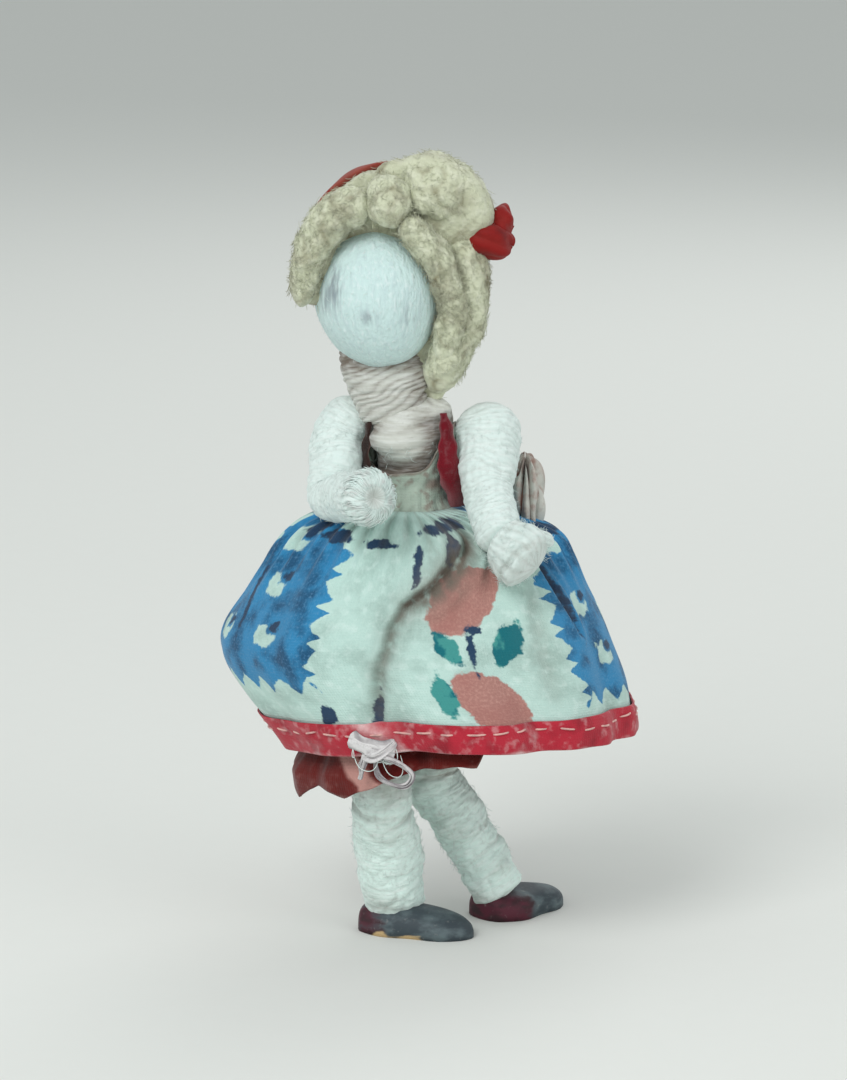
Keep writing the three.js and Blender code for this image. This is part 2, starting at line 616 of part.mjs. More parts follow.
function buildTrunk() {
  const neckSocket = ball(NECK_BALL_RADIUS + GAP, neckPivot);
  const spineFoot = new THREE.Vector3(BODY_X, 0, HIP_HEIGHT + BORE_RADIUS);
  const spineBack = BORE_RADIUS + WIRE_RADIUS;
  const spineTop = along(along(neckPivot, UP, -NECK_BALL_RADIUS - 2 * GAP), BACKWARD, spineBack);
  const spinePath = new THREE.CatmullRomCurve3([
    spineFoot,
    new THREE.Vector3(BODY_X, 0, SEAT_HEIGHT),
    new THREE.Vector3(BODY_X, spineBack, SHOULDER_HEIGHT - 4 * BORE_RADIUS),
    new THREE.Vector3(BODY_X + NECK_SHIFT / 2, spineBack, SHOULDER_HEIGHT),
    spineTop,
  ]);
  const spineAlong = (radius) => {
    const outline = new THREE.Path().absarc(0, 0, radius, 0, 2 * Math.PI).getPoints(WIRE_SIDES / 4);
    const options = { steps: SPINE_RINGS, bevelEnabled: false, extrudePath: spinePath };
    return new THREE.ExtrudeGeometry(new THREE.Shape(outline), options);
  };
  add("spine_wire", spineAlong(WIRE_RADIUS), WIRE);
  const wrap = trunk(SEAT_HEIGHT, TORSO_TOP, 0);
  const shoulderBore = boreBetween(rightShoulder, leftShoulder);
  const armSockets = [
    ball(RIGHT_SHOULDER_RADIUS + GAP, rightShoulder),
    ball(LEFT_SHOULDER_RADIUS + GAP, leftShoulder),
  ];
  add("torso_wrap", cut(wrap, neckSocket, ...armSockets, shoulderBore, spineAlong(BORE_RADIUS)), THREAD);
  add("shoulder_wire", wireBetween(rightShoulder, leftShoulder), WIRE);
  const overhang = HIP_RADIUS - GAP;
  const hipEnds = [along(rightHip, RIGHTWARD, -overhang), along(leftHip, RIGHTWARD, overhang)];
  add("hip_wire", wireBetween(...hipEnds), WIRE);
}

function buildNeck() {
  const top = NECK_LENGTH * NECK_SHARE;
  const outline = [[0, NECK_BALL_RADIUS], [NECK_SWELL, NECK_RADIUS], [1, NECK_RADIUS - GAP]];
  const rings = [
    ...ballRings(NECK_BALL_RADIUS, 0, Math.asin(BORE_RADIUS / NECK_BALL_RADIUS), Math.PI / 2, -1),
    ...steps(LIMB_RINGS)
      .slice(1)
      .map((s) => roundRing(eased(outline, s), top * s)),
    roundRing(BORE_RADIUS, top),
  ];
  const group = limbGroup(neckPivot, neckAim, BACKWARD);
  const clearHead = ball(HEAD_RADIUS + GAP, new THREE.Vector3(0, 0, NECK_LENGTH));
  add("neck_wrap", cut(loft(rings, true), clearHead), THREAD, group);
  const wireStart = new THREE.Vector3(0, 0, -NECK_BALL_RADIUS + GAP);
  const wireEnd = new THREE.Vector3(0, 0, NECK_LENGTH);
  add("neck_wire", wireBetween(wireStart, wireEnd), WIRE, group);
  const headBall = ball(HEAD_RADIUS, new THREE.Vector3(0, 0, NECK_LENGTH));
  const socket = boreBetween(new THREE.Vector3(), new THREE.Vector3(0, 0, NECK_LENGTH + GAP));
  add("head_ball", cut(headBall, socket), FIBRE, group);
}

// A place given in head radii from the centre of the head
function onHead(place) {
  return along(headCentre, new THREE.Vector3(...place), HEAD_RADIUS);
}

// A lock of hair: a swelling tube along a curve with rounded ends, grown outwards by a clearance
function lockSolid(lock, grow) {
  const curve = new THREE.CatmullRomCurve3(lock.path.map(onHead));
  const radii = lock.radii.map((radius, i) => [i / (lock.radii.length - 1), HEAD_RADIUS * radius]);
  const frames = curve.computeFrenetFrames(LOCK_RINGS);
  const tip = (s) => Math.sqrt(Math.max(1 - (2 * s - 1) ** LOCK_BLUNTNESS, LOCK_TIP));
  const rings = steps(LOCK_RINGS).map((s, i) => {
    const centre = curve.getPointAt(s);
    const radius = eased(radii, s) * tip(s) + grow;
    return roundRing(radius, 0, 0, LOCK_SIDES).map((point) =>
      along(along(centre, frames.normals[i], point.x), frames.binormals[i], point.y),
    );
  });
  return loft(rings);
}

function hairCap(grow) {
  const centre = onHead(CAP_SHIFT);
  const half = CAP_HALF_SIZE.clone().multiplyScalar(HEAD_RADIUS).addScalar(grow);
  const crown = ball(1, new THREE.Vector3()).scale(half.x, half.y, half.z);
  return crown.translate(centre.x, centre.y, centre.z);
}

// A block that cuts right across the doll, with its own width or depth where one is given
function cube(x, y, z, width = CUT_REACH, depth = CUT_REACH) {
  return new THREE.BoxGeometry(width, depth, CUT_REACH).translate(x, y, z);
}

function buildHair() {
  const frontY = headCentre.y + HEAD_RADIUS * CAP_FRONT;
  const napeZ = headCentre.z + HEAD_RADIUS * CAP_NAPE;
  const face = cube(headCentre.x, frontY - CUT_REACH / 2, headCentre.z);
  const nape = cube(headCentre.x, headCentre.y, napeZ - CUT_REACH / 2);
  const scalp = ball(HEAD_RADIUS + GAP, headCentre);
  add("hair_cap", cut(hairCap(0), scalp, face, nape), WOOL);

  const grownCap = cut(hairCap(GAP), face.clone().translate(0, -GAP, 0), nape.clone().translate(0, 0, -GAP));
  const earlier = [scalp, grownCap];
  for (const lock of HAIR_LOCKS) {
    add(lock.name, cut(lockSolid(lock, 0), ...earlier), WOOL);
    earlier.push(lockSolid(lock, GAP));
  }

  const bandY = headCentre.y + HEAD_RADIUS * BAND_BACK;
  const slab = cube(headCentre.x, bandY, headCentre.z + CUT_REACH / 2, CUT_REACH, BAND_WIDTH);
  const hoop = common(cut(hairCap(GAP + BAND_THICKNESS), hairCap(GAP)), slab);
  const grownLocks = earlier.slice(2);
  add("ribbon_band", cut(hoop, ...grownLocks), RIBBON);

  const [lower, upper] = KNOT_LOBES.map(({ place, halfSize, tilt }) => {
    const lobe = egg(halfSize.map((half) => HEAD_RADIUS * half)).rotateY(radians(tilt));
    const centre = onHead(place);
    return solidOf(lobe.translate(centre.x, centre.y, centre.z));
  });
  const knot = geometryOf(lower.add(upper));
  add("ribbon_knot", cut(knot, ...earlier, hairCap(2 * GAP + BAND_THICKNESS)), RIBBON);
}

// The skirt's outer face at a share of its length and a heading round the doll
function skirtPoint(share, heading) {
  const spread = (key) => eased(SKIRT_FLARE.map((row) => [row.at, row[key]]), share);
  const left = SKIRT_LEFT_REACH * spread("left");
  const right = SKIRT_RIGHT_REACH * spread("right");
  const turn = radians(heading);
  const inFront = Math.max(0, -Math.sin(turn));
  const depth = inFront > 0 ? SKIRT_FRONT_REACH * spread("front") : SKIRT_BACK_REACH * spread("back");
  const fold = SKIRT_FOLDS.reduce((sum, valley) => {
    const away = THREE.MathUtils.euclideanModulo(heading - valley.heading + 180, 360) - 180;
    return sum + valley.depth * Math.exp(-((away / valley.spread) ** 2));
  }, 0);
  const drawn = fold * THREE.MathUtils.smoothstep(share, FOLD_START, FOLD_FULL);
  const halfWidth = (left + right) / 2 - drawn;
  const x = (right - left) / 2 + halfWidth * Math.cos(turn);
  const y = (depth - drawn) * Math.sin(turn);
  const crown = SKIRT_CROWN * (1 - THREE.MathUtils.smoothstep(share, 0, CROWN_SHARE));
  const lift = (HEM_TILT * Math.cos(turn) + HEM_FRONT_RISE * inFront * inFront) * share * share;
  return new THREE.Vector3(x, y, WAIST_HEIGHT + crown - SKIRT_LENGTH * share + lift);
}

// A point sunk below the skirt's outer face, square to the cloth
function skirtInside(share, heading, depth) {
  const point = skirtPoint(share, heading);
  const nudge = 1e-3;
  const down = skirtPoint(share + nudge, heading).sub(point);
  const round = skirtPoint(share, heading + nudge * 360).sub(point);
  const inward = round.cross(down).normalize();
  return along(point, inward, depth);
}

// A band of cloth between two depths below the skirt's face, from one share of its length to another
function clothBand(fromShare, toShare, outer, inner, sides, rows) {
  const ringAt = (s, depth) =>
    Array.from({ length: sides }, (_, k) => {
      const heading = (360 * k) / sides;
      const share = fromShare(heading) + (toShare(heading) - fromShare(heading)) * s;
      return skirtInside(share, heading, depth);
    });
  const outside = steps(rows).map((s) => ringAt(s ** FLARE_SPACING, outer));
  const inside = steps(rows).map((s) => ringAt(s ** FLARE_SPACING, inner));
  return loft([...outside, ...inside.reverse()], true);
}

// Everything under the skirt's outer face, grown outwards by a clearance
function skirtDome(grow) {
  const ringAt = (share) =>
    Array.from({ length: SKIRT_SIDES }, (_, k) => skirtInside(share, (360 * k) / SKIRT_SIDES, -grow));
  return loft(steps(SKIRT_RINGS).map((s) => ringAt(s ** FLARE_SPACING)));
}

function buildDress() {
  const bodiceFoot = WAIST_HEIGHT - BODICE_SKIRT_OVERLAP;
  const bodiceTop = HIP_HEIGHT + BODICE_TOP_RISE;
  const lining = GAP;
  const face = lining + BODICE_THICKNESS;
  const scoop = new THREE.Vector3(neckPivot.x + NECKLINE_SHIFT, 0, bodiceTop + NECKLINE_RISE);
  const neckline = boreBetween(along(scoop, BACKWARD, -CUT_REACH), scoop, NECKLINE_RADIUS);
  const armholes = [
    ball(RIGHT_SHOULDER_RADIUS + 2 * GAP, rightShoulder),
    ball(LEFT_SHOULDER_RADIUS + 2 * GAP, leftShoulder),
    boreBetween(rightShoulder, leftShoulder),
  ];
  const shell = trunk(bodiceFoot, bodiceTop, face);
  const hollow = trunk(bodiceFoot - OVERRUN, bodiceTop + OVERRUN, lining);
  add("bodice", cut(shell, hollow, neckline, ...armholes), PRINT);

  // The straps run up the front of the bodice and end under the neck
  const under = face + GAP;
  const strapTop = HIP_HEIGHT + STRAP_TOP_RISE;
  const outside = trunk(WAIST_HEIGHT + SKIRT_CROWN, strapTop, under + STRAP_THICKNESS);
  const inside = trunk(WAIST_HEIGHT - OVERRUN, strapTop + OVERRUN, under);
  const neckSocket = ball(NECK_BALL_RADIUS + 2 * GAP, neckPivot);
  for (const [side, sign] of [["right", -1], ["left", 1]]) {
    const x = BODY_X + sign * STRAP_INSET;
    const slab = cube(x, -CUT_REACH / 2, WAIST_HEIGHT + CUT_REACH / 2, STRAP_WIDTH);
    add(`${side}_strap`, cut(common(cut(outside, inside), slab), neckSocket, ...armholes), STRAP);
  }

  const top = () => 0;
  const hem = () => 1;
  add("skirt", clothBand(top, hem, 0, CLOTH_THICKNESS, SKIRT_SIDES, SKIRT_RINGS), PRINT);
  const ruffle = egg(RUFFLE_HALF_SIZE);
  ruffle.translate(leftShoulder.x + RUFFLE_SIDE_SHIFT, RUFFLE_BACK_SHIFT, WAIST_HEIGHT + RUFFLE_RISE);
  add("side_ruffle", cut(ruffle, skirtDome(GAP)), PRINT);
  const tapeShare = TAPE_WIDTH / SKIRT_LENGTH;
  const tapeTop = () => 1 - tapeShare;
  const tapeFoot = () => 1 + GAP / SKIRT_LENGTH;
  add("hem_tape", clothBand(tapeTop, tapeFoot, -GAP - TAPE_THICKNESS, -GAP, SKIRT_SIDES, TAPE_RINGS), TAPE);
  const sunk = CLOTH_THICKNESS + PETTICOAT_SPACE;
  const petticoatTop = () => PETTICOAT_TOP;
  const petticoatFoot = (heading) => {
    const low = (1 + Math.cos(radians(heading - PETTICOAT_LOW_HEADING))) / 2;
    return 1 + (PETTICOAT_DROP * low ** PETTICOAT_POINT - PETTICOAT_TUCK) / SKIRT_LENGTH;
  };
  const petticoat = clothBand(
    petticoatTop, petticoatFoot, sunk, sunk + PETTICOAT_THICKNESS, PETTICOAT_SIDES, PETTICOAT_RINGS,
  );
  add("petticoat", petticoat, PETTICOAT);
}

buildTrunk();
buildNeck();
buildHair();
buildArm("right", rightShoulder, RIGHT_SHOULDER_RADIUS, RIGHT_ARM);
buildArm("left", leftShoulder, LEFT_SHOULDER_RADIUS, LEFT_ARM);
buildLeg("right", rightHip, rightKnee, rightAnkle, rightThighAim, rightShinAim, RIGHT_FOOT_HEADING);
buildLeg("left", leftHip, leftKnee, leftAnkle, leftThighAim, leftShinAim, LEFT_FOOT_HEADING);
buildDress();

export default doll;
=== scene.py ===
"""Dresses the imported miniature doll: cotton-wound limbs, wool hair, a print dress and painted shoes."""
import math
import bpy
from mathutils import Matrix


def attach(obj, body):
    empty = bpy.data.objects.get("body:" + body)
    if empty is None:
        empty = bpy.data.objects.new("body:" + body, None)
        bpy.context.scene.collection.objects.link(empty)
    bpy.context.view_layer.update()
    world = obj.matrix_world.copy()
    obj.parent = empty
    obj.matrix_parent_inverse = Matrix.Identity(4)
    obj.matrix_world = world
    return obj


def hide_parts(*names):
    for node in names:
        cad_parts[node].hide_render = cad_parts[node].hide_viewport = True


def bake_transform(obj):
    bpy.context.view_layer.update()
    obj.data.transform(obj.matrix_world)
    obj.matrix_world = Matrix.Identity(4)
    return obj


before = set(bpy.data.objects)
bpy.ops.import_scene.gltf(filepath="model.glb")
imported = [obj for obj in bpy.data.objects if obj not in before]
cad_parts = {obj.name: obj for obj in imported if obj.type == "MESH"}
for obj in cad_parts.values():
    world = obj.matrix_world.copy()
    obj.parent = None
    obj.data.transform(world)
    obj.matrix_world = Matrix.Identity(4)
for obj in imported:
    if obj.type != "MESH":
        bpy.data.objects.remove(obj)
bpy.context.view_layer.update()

from types import SimpleNamespace

import bpy
import numpy as np
from bpy.props import FloatProperty, FloatVectorProperty, PointerProperty
from mathutils import Matrix

bl_info = {
    "name": "Miniature Doll",
    "version": (1, 0, 0),
    "blender": (4, 5, 0),
    "location": "View3D > Sidebar > Doll",
    "description": "Winds, dresses and finishes a miniature wire doll on its solids",
    "category": "Add Mesh",
}

MM = 0.001
TURN = 2 * math.pi
# Cosines in one ripple
WAVES = 7

# Places taken from the solids, in millimetres
WAIST = 47.797
HIP = 34.197
SHOULDER = 56.297
BODY_X = -2.3
NECK_PIVOT = np.array([-4.7, 0.0, 61.597])
NECK_AIM = np.array([-0.1132, 0.0, 0.9936])
HEAD = np.array([-5.889, 0.0, 72.03])
HEAD_RADIUS = 7.4
SKIRT_LENGTH = 25.6

# Legs: hip, knee and ankle on each side, heading of the shoe in degrees, how the winding leans at the thigh
# and shifts at the ankle, radii down the shin, and the shoe's heel and toe from the ankle
LEGS = {
    "right": dict(hip=(-6.2, 0.0, HIP), knee=(-4.985, -6.89, 18.484), ankle=(-4.397, -3.554, 4.9),
                  heading=-25.0, lean=(-0.8, 0.0, 0.0), shift=(0.0, 0.0, 0.0), shin=(3.75, 3.6, 3.45),
                  shoe=(-3.7, 10.0), seed=11),
    "left": dict(hip=(1.6, 0.0, HIP), knee=(0.452, 0.964, 17.063), ankle=(7.318, 1.929, 4.9),
                 heading=40.0, lean=(-0.3, 0.0, 0.0), shift=(-0.55, 0.0, 0.0), shin=(3.2, 3.1, 3.05),
                 shoe=(-2.4, 9.7), seed=23),
}
# Radii above the hip, at it, at the middle of the thigh and at the knee
THIGH_RADII = (3.1, 3.1, 3.6, 3.35)
# How far a leg's winding runs past the hip and the ankle
LEG_END = 2.9
# Shoes: full half width and height, and the shares of each at shares of the length from heel to toe
SHOE_HALF_WIDTH = 3.9
SHOE_WIDTHS = (0.42, 0.72, 1, 0.86, 0.76, 0.3)
SHOE_WIDTH_SHARES = (0, 0.08, 0.3, 0.55, 0.8, 1)
SHOE_HEIGHT = 3.06
SHOE_HEIGHTS = (0.8, 1, 1, 0.74, 0.42)
SHOE_HEIGHT_SHARES = (0, 0.1, 0.48, 0.85, 1)

# Arms: shoulder, the way from it to the arm's upper end, radius there, elbow, and aims of forearm and hand
ARMS = {
    "right": dict(shoulder=(-10.1, 0.0, SHOULDER), top=(2.3, 0.6, 3.8), radius=3.1,
                  elbow=(-10.9, -3.678, 49.971), fore=(0.42, -0.88, 0.14), hand=(0.42, -0.88, 0.14), seed=37),
    "left": dict(shoulder=(6.3, 0.0, SHOULDER), top=(-0.43, 2.23, 2.77), radius=3.8,
                 elbow=(6.3, -4.607, 50.575), fore=(0.2, -0.74, -0.62), hand=(0.75, -0.4, -0.53), seed=41),
}
# Radii at the elbow, at the middle of the forearm and at the wrist
FOREARM_RADII = (2.85, 2.75, 2.6)
FOREARM_LENGTH = 6.9
# Hands: how far each starts inside the forearm, and lengths along it with the radii there
HANDS = {
    "right": dict(sunk=0.7, ways=(0, 1.3, 2.8, 4.2, 5.3), radii=(2.7, 3.0, 3.2, 3.05, 2.5)),
    "left": dict(sunk=0.4, ways=(0, 1.4, 2.9, 4.4, 5.6), radii=(2.6, 3.15, 3.5, 3.35, 2.6)),
}
# Thumb: its root along the hand, points from there and radii at them
THUMB_ROOT = 2.6
THUMB_POINTS = np.array([(0.0, 0.0, 0.0), (1.7, 0.0, 1.0), (3.1, 0.3, 1.1), (4.2, 0.4, 0.7)])
THUMB_RADII = (1.4, 1.3, 1.05, 0.6)

# Trunk: heights, with the solid's half widths and half depths at them
TRUNK_HEIGHTS = (38.1, WAIST, 54.197, SHOULDER, 60.397)
TRUNK_WIDE = (4.0, 3.5, 3.9, 4.5, 3.8)
TRUNK_DEEP = (3.4, 3.4, 4.2, 3.9, 3.2)
# Chest: heights of the winding, with its half widths and half depths at them, and its highest ring
CHEST_HEIGHTS = (*TRUNK_HEIGHTS[:4], 61.1)
CHEST_WIDE = (4.0, 3.5, 3.9, 4.6, 5.0)
CHEST_DEEP = (3.4, 3.4, 4.2, 4.0, 4.0)
CHEST_TOP = 61.0
# Neck: lengths from its pivot along its aim, and radii at them
NECK_RISES = (-4.3, -2.2, 0.2, 2.6, 4.6, 6.6)
NECK_RADII = (3.6, 4.25, 4.6, 5.05, 5.15, 4.3)

# Head: its stretch along each axis
HEAD_OVAL = np.array([0.965, 1.0, 1.085])
# Smudges of the face: place in x and z, half width, half height and depth
SMUDGES = [(-10.7, 73.4, 0.9, 2.3, 1.0), (-6.9, 70.5, 0.9, 0.8, 0.7), (-11.8, 71.8, 0.5, 1.6, 0.6),
           (-2.6, 70.3, 1.2, 1.6, 0.45)]

# Locks of hair: points in head radii from the head's centre, and radii at them
LOCKS = {
    "crown_roll": dict(points=[(0.28, -0.36, 1.6), (0.66, -0.33, 1.68), (1.1, -0.3, 1.56),
                               (1.44, -0.24, 1.22)],
                       radii=[0.36, 0.5, 0.49, 0.34], seed=51),
    "forelock": dict(points=[(0.22, -0.42, 1.82), (0.17, -0.58, 1.6), (0.2, -0.7, 1.32),
                             (0.26, -0.76, 1.1)],
                     radii=[0.26, 0.35, 0.33, 0.2], seed=52),
    "right_side_lock": dict(points=[(-0.1, -0.58, 1.4), (-0.5, -0.55, 1.36), (-0.85, -0.48, 0.99),
                                    (-1.04, -0.42, 0.52), (-1.12, -0.38, 0.08), (-1.16, -0.36, -0.14)],
                            radii=[0.32, 0.33, 0.31, 0.26, 0.18, 0.07], seed=53),
    "left_front_lock": dict(points=[(0.36, -0.76, 1.22), (0.74, -0.7, 0.83), (1.0, -0.6, 0.34),
                                    (1.12, -0.5, -0.1), (1.06, -0.44, -0.58), (0.93, -0.4, -1.0)],
                            radii=[0.2, 0.25, 0.25, 0.25, 0.23, 0.14], seed=54),
    "left_side_lock": dict(points=[(1.22, -0.2, 0.97), (1.33, -0.2, 0.27), (1.25, -0.2, -0.38),
                                   (1.02, -0.22, -0.97), (0.82, -0.22, -1.46)],
                           radii=[0.3, 0.36, 0.36, 0.32, 0.18], seed=55),
}
# Hair cap: the way the face looks, then half sizes, shift, front and foot in head radii
FACE_AIM = np.array([-0.09, -0.99, -0.11])
CAP_HALF = np.array([1.26, 1.189, 1.53])
CAP_SHIFT = np.array([0.17, 0.162, 0.34])
CAP_FRONT = -0.081
CAP_FOOT = -0.73

# Ribbon: the band's place behind the head's centre in head radii, half width and height over the cap
BAND_PLACE = 0.43
BAND_HALF = 1.5
BAND_RISE = 0.75
# Loops of its knot: place and half sizes in head radii, lean in degrees and seed
KNOT_LOOPS = [((1.65, -0.22, 0.86), (0.34, 0.3, 0.27), 15, 95),
              ((1.83, -0.08, 1.1), (0.18, 0.26, 0.25), 12, 96)]

# Skirt: reaches to -X, +X, the front and the back, and rows of the share of the length and of each reach
SKIRT_REACH = np.array([23.5, 22.9, 18.4, 18.4])
SKIRT_SPREAD = np.array([
    [0.0, 7.6 / 23.5, 3.0 / 22.9, 5.2 / 18.4, 5.2 / 18.4], [0.04, 0.553, 0.419, 0.38, 0.435],
    [0.09, 0.668, 0.594, 0.446, 0.533], [0.2, 0.77, 0.69, 0.565, 0.641], [0.36, 0.887, 0.777, 0.707, 0.75],
    [0.58, 1.0, 0.886, 0.848, 0.87], [0.8, 0.877, 0.969, 0.946, 0.951], [1.0, 0.698, 1.0, 1.0, 1.0],
    [1.25, 0.634, 1.004, 1.027, 1.027],
])
# How much the hem rises to +X and in front
HEM_TILT = 0.6
HEM_FRONT_RISE = 2.1
# Hanging folds: heading in degrees, depth and spread in degrees
SKIRT_FOLDS = [(-107, 1.9, 9), (-62, 1.3, 8), (-24, 1.2, 8), (38, 1.3, 10), (72, 1.2, 8), (118, 1.4, 9),
               (152, 1.2, 9), (207, 0.6, 8)]
# Pressed creases: headings and shares along each, depth and width in millimetres, and how dark their painted
# shade is
SKIRT_CREASES = [
    ([(-67, 0.07), (-69.5, 0.11), (-78.5, 0.215), (-86, 0.295), (-93, 0.35)], 1.25, 1.0, 0.85),
    ([(-86, 0.295), (-94, 0.355), (-97, 0.435), (-98.5, 0.545), (-104.5, 0.695), (-112.5, 0.87)],
     1.0, 0.6, 0.62),
    ([(-40, 0.17), (-36, 0.3), (-31, 0.5)], 0.9, 0.5, 0.3), ([(-48, 0.3), (-52, 0.8)], 0.35, 1.0, 0.3),
    ([(-140, 0.15), (-136, 0.7)], 0.25, 1.2, 0.1), ([(60, 0.2), (52, 0.85)], 0.5, 0.8, 0.3),
    ([(128, 0.2), (134, 0.8)], 0.6, 0.8, 0.3), ([(176, 0.25), (170, 0.8)], 0.5, 0.8, 0.25),
]

# Print: blue patches by heading, half spread and lowest share, the spots in them by heading and share, and
# headings of the flower groups
PATCHES = [(-154.0, 31.5, 0.71), (-8.0, 34.0, 0.80), (103.0, 31.0, 0.74)]
SPOTS = [(-149.0, 0.285), (-143.0, 0.495), (-153.5, 0.105), (-173.0, 0.5), (-27.0, 0.12), (-22.5, 0.39),
         (-17.0, 0.615), (3.0, 0.46), (9.0, 0.24), (92.0, 0.3), (90.0, 0.55), (114.0, 0.44), (118.0, 0.2)]
FLOWERS = [-74.0, 48.0, 156.0]
# Figures of one flower group: kind, degrees from its middle, share, half length, half width, tilt in degrees
FLOWER_FIGURES = [
    ("pink", -0.5, 0.325, 4.9, 3.1, -40), ("pink", 1.0, 0.775, 4.6, 3.3, 38),
    ("teal", -6.5, 0.525, 2.3, 1.25, 50), ("teal", 13.0, 0.525, 3.1, 1.65, -58),
    ("teal", -12.0, 0.735, 2.8, 1.35, -85),
    ("navy", 0.7, 0.53, 2.5, 0.5, 92), ("navy", 1.7, 0.455, 1.0, 0.6, 10),
    ("navy", -4.0, 0.044, 2.9, 0.6, -14), ("navy", 5.0, 0.036, 1.4, 0.8, -10),
    ("navy", -17.3, 0.165, 3.1, 0.52, 90), ("navy", -3.2, 0.125, 2.5, 0.95, 98),
    ("navy", -33.5, 0.1, 1.9, 0.8, 6), ("navy", -36.2, 0.815, 2.6, 0.55, 123),
    ("navy", -52.5, 0.83, 1.75, 0.95, 145), ("navy", -56.0, 0.08, 2.2, 1.0, 8),
    ("navy", -73.0, 0.06, 1.6, 0.8, -20), ("navy", 40.5, 0.35, 4.2, 0.42, 78),
]

# Hem: shares of the skirt's length at the tape's upper edge, its stitches and its lower edge
TAPE_TOP = 0.867
STITCH_LEVEL = 0.918
TAPE_FOOT = 1.012
# Frayed strips: heading, share and distance out along each, half width, how grey it is and seed
FRAY_STRIPS = [
    ([(-123, 0.925, 0.9), (-119.5, 0.955, 1.2), (-116, 0.985, 1.3), (-112, 1.005, 1.0)], 1.15, 0.0, 115),
    ([(-121.5, 0.99, 1.0), (-118, 1.005, 1.6), (-114.5, 0.985, 1.5), (-110.5, 0.95, 1.0)], 0.75, 0.0, 116),
    ([(-118, 1.0, 1.3), (-112, 1.045, 1.7), (-108, 1.115, 1.6), (-110.5, 1.17, 1.3), (-115, 1.155, 1.2),
      (-118.5, 1.1, 1.2), (-118, 1.02, 1.3)], 0.34, 0.35, 117),
    ([(-119, 0.98, 1.2), (-122.5, 1.05, 1.3), (-125, 1.12, 1.1)], 0.36, 0.15, 118),
]
# The way the strips face
FRAY_AIM = np.array([-0.44, -0.9, 0.1])

# Petticoat: its top as a share of the skirt's length, and how far its two faces lie inside the skirt
PETTICOAT_TOP = 0.13
PETTICOAT_FACES = (-1.65, -1.95)
# How far its foot hangs below the skirt's, by heading
PETTICOAT_DROP = [
    (-250, -0.5), (-205, 0.8), (-182, 3.6), (-173, 5.2), (-166, 6.0), (-159, 4.9), (-152, 4.3),
    (-145, 4.8), (-137, 5.4), (-128, 4.8), (-112, 3.3), (-98, 2.6), (-86, 2.3), (-80, -0.2),
    (-40, -0.5), (60, -0.5),
]

# Bodice: heights of its foot, of its edge behind and of the corners of its neckline
BODICE_FOOT = 46.9
BODICE_BACK = 56.6
BODICE_CORNER = 57.6
# Neckline: height of the scoop's rim, its depth, its middle in x and its half width
SCOOP_RIM = 59.2
SCOOP_DEPTH = 6.7
SCOOP_X = -3.6
SCOOP_HALF = 4.4

# Straps: height of the foot, rise, shares of the rise and half widths at them, then on each side the
# distances from the trunk's middle at the same shares, how narrow the strap is and how wide its curve is
STRAP_FOOT = 48.6
STRAP_RISE = 10.7
STRAP_SHARES = (0, 0.3, 0.65, 1)
STRAP_HALF = (1.1, 1.35, 1.0, 0.45)
STRAPS = {
    "right": dict(sign=-1, aside=(4.95, 4.95, 4.9, 4.7), narrow=0.42, curve=6.0),
    "left": dict(sign=1, aside=(5.6, 4.6, 4.2, 3.6), narrow=1.0, curve=7.2),
}
# Heading of the skirt behind the left arm
HEADING_PLACE = np.array([10.6, 2.4, 47.9])
HEADING_HALF = np.array([2.1, 3.0, 4.9])

# Stage: the sky, then each light's name, place in metres, power in watts and size in metres
SKY = (0.86, 0.9, 0.9, 1.0)
SKY_STRENGTH = 0.62
LIGHTS = [("key", (-0.28, -0.42, 0.5), 2.2, 0.35), ("fill", (0.45, -0.4, 0.22), 0.75, 0.4),
          ("rim", (0.2, 0.5, 0.45), 1.0, 0.4)]
LIGHT_TARGET = np.array([0.0, 0.0, 0.044])
# Camera: target in millimetres, distance in metres, rise in degrees, lens and sensor in millimetres
CAMERA_TARGET = np.array([-0.84, 0.0, 44.2])
CAMERA_DISTANCE = 0.52
CAMERA_RISE = 11
CAMERA_LENS = 102.7
CAMERA_SENSOR = 24
# Radius of the floor in millimetres
FLOOR_RADIUS = 6000.0


def dye(red, green, blue):
    """Linear light from display values of 0 to 255: the two-part display curve undone."""
    shares = np.array([red, green, blue]) / 255
    linear = np.where(shares <= 0.04045, shares / 12.92, ((shares + 0.055) / 1.055) ** 2.4)
    return tuple(float(value) for value in linear)


def tint(label, about, red, green, blue):
    """A colour that a user can change, given in display values."""
    return FloatVectorProperty(name=label, description=about, subtype="COLOR", size=3, min=0.0, max=1.0,
                               default=dye(red, green, blue))


def millimetres(label, about, size):
    """A length that a user can change, given in millimetres."""
    return FloatProperty(name=label, description=about, default=size, min=0.0, precision=3)


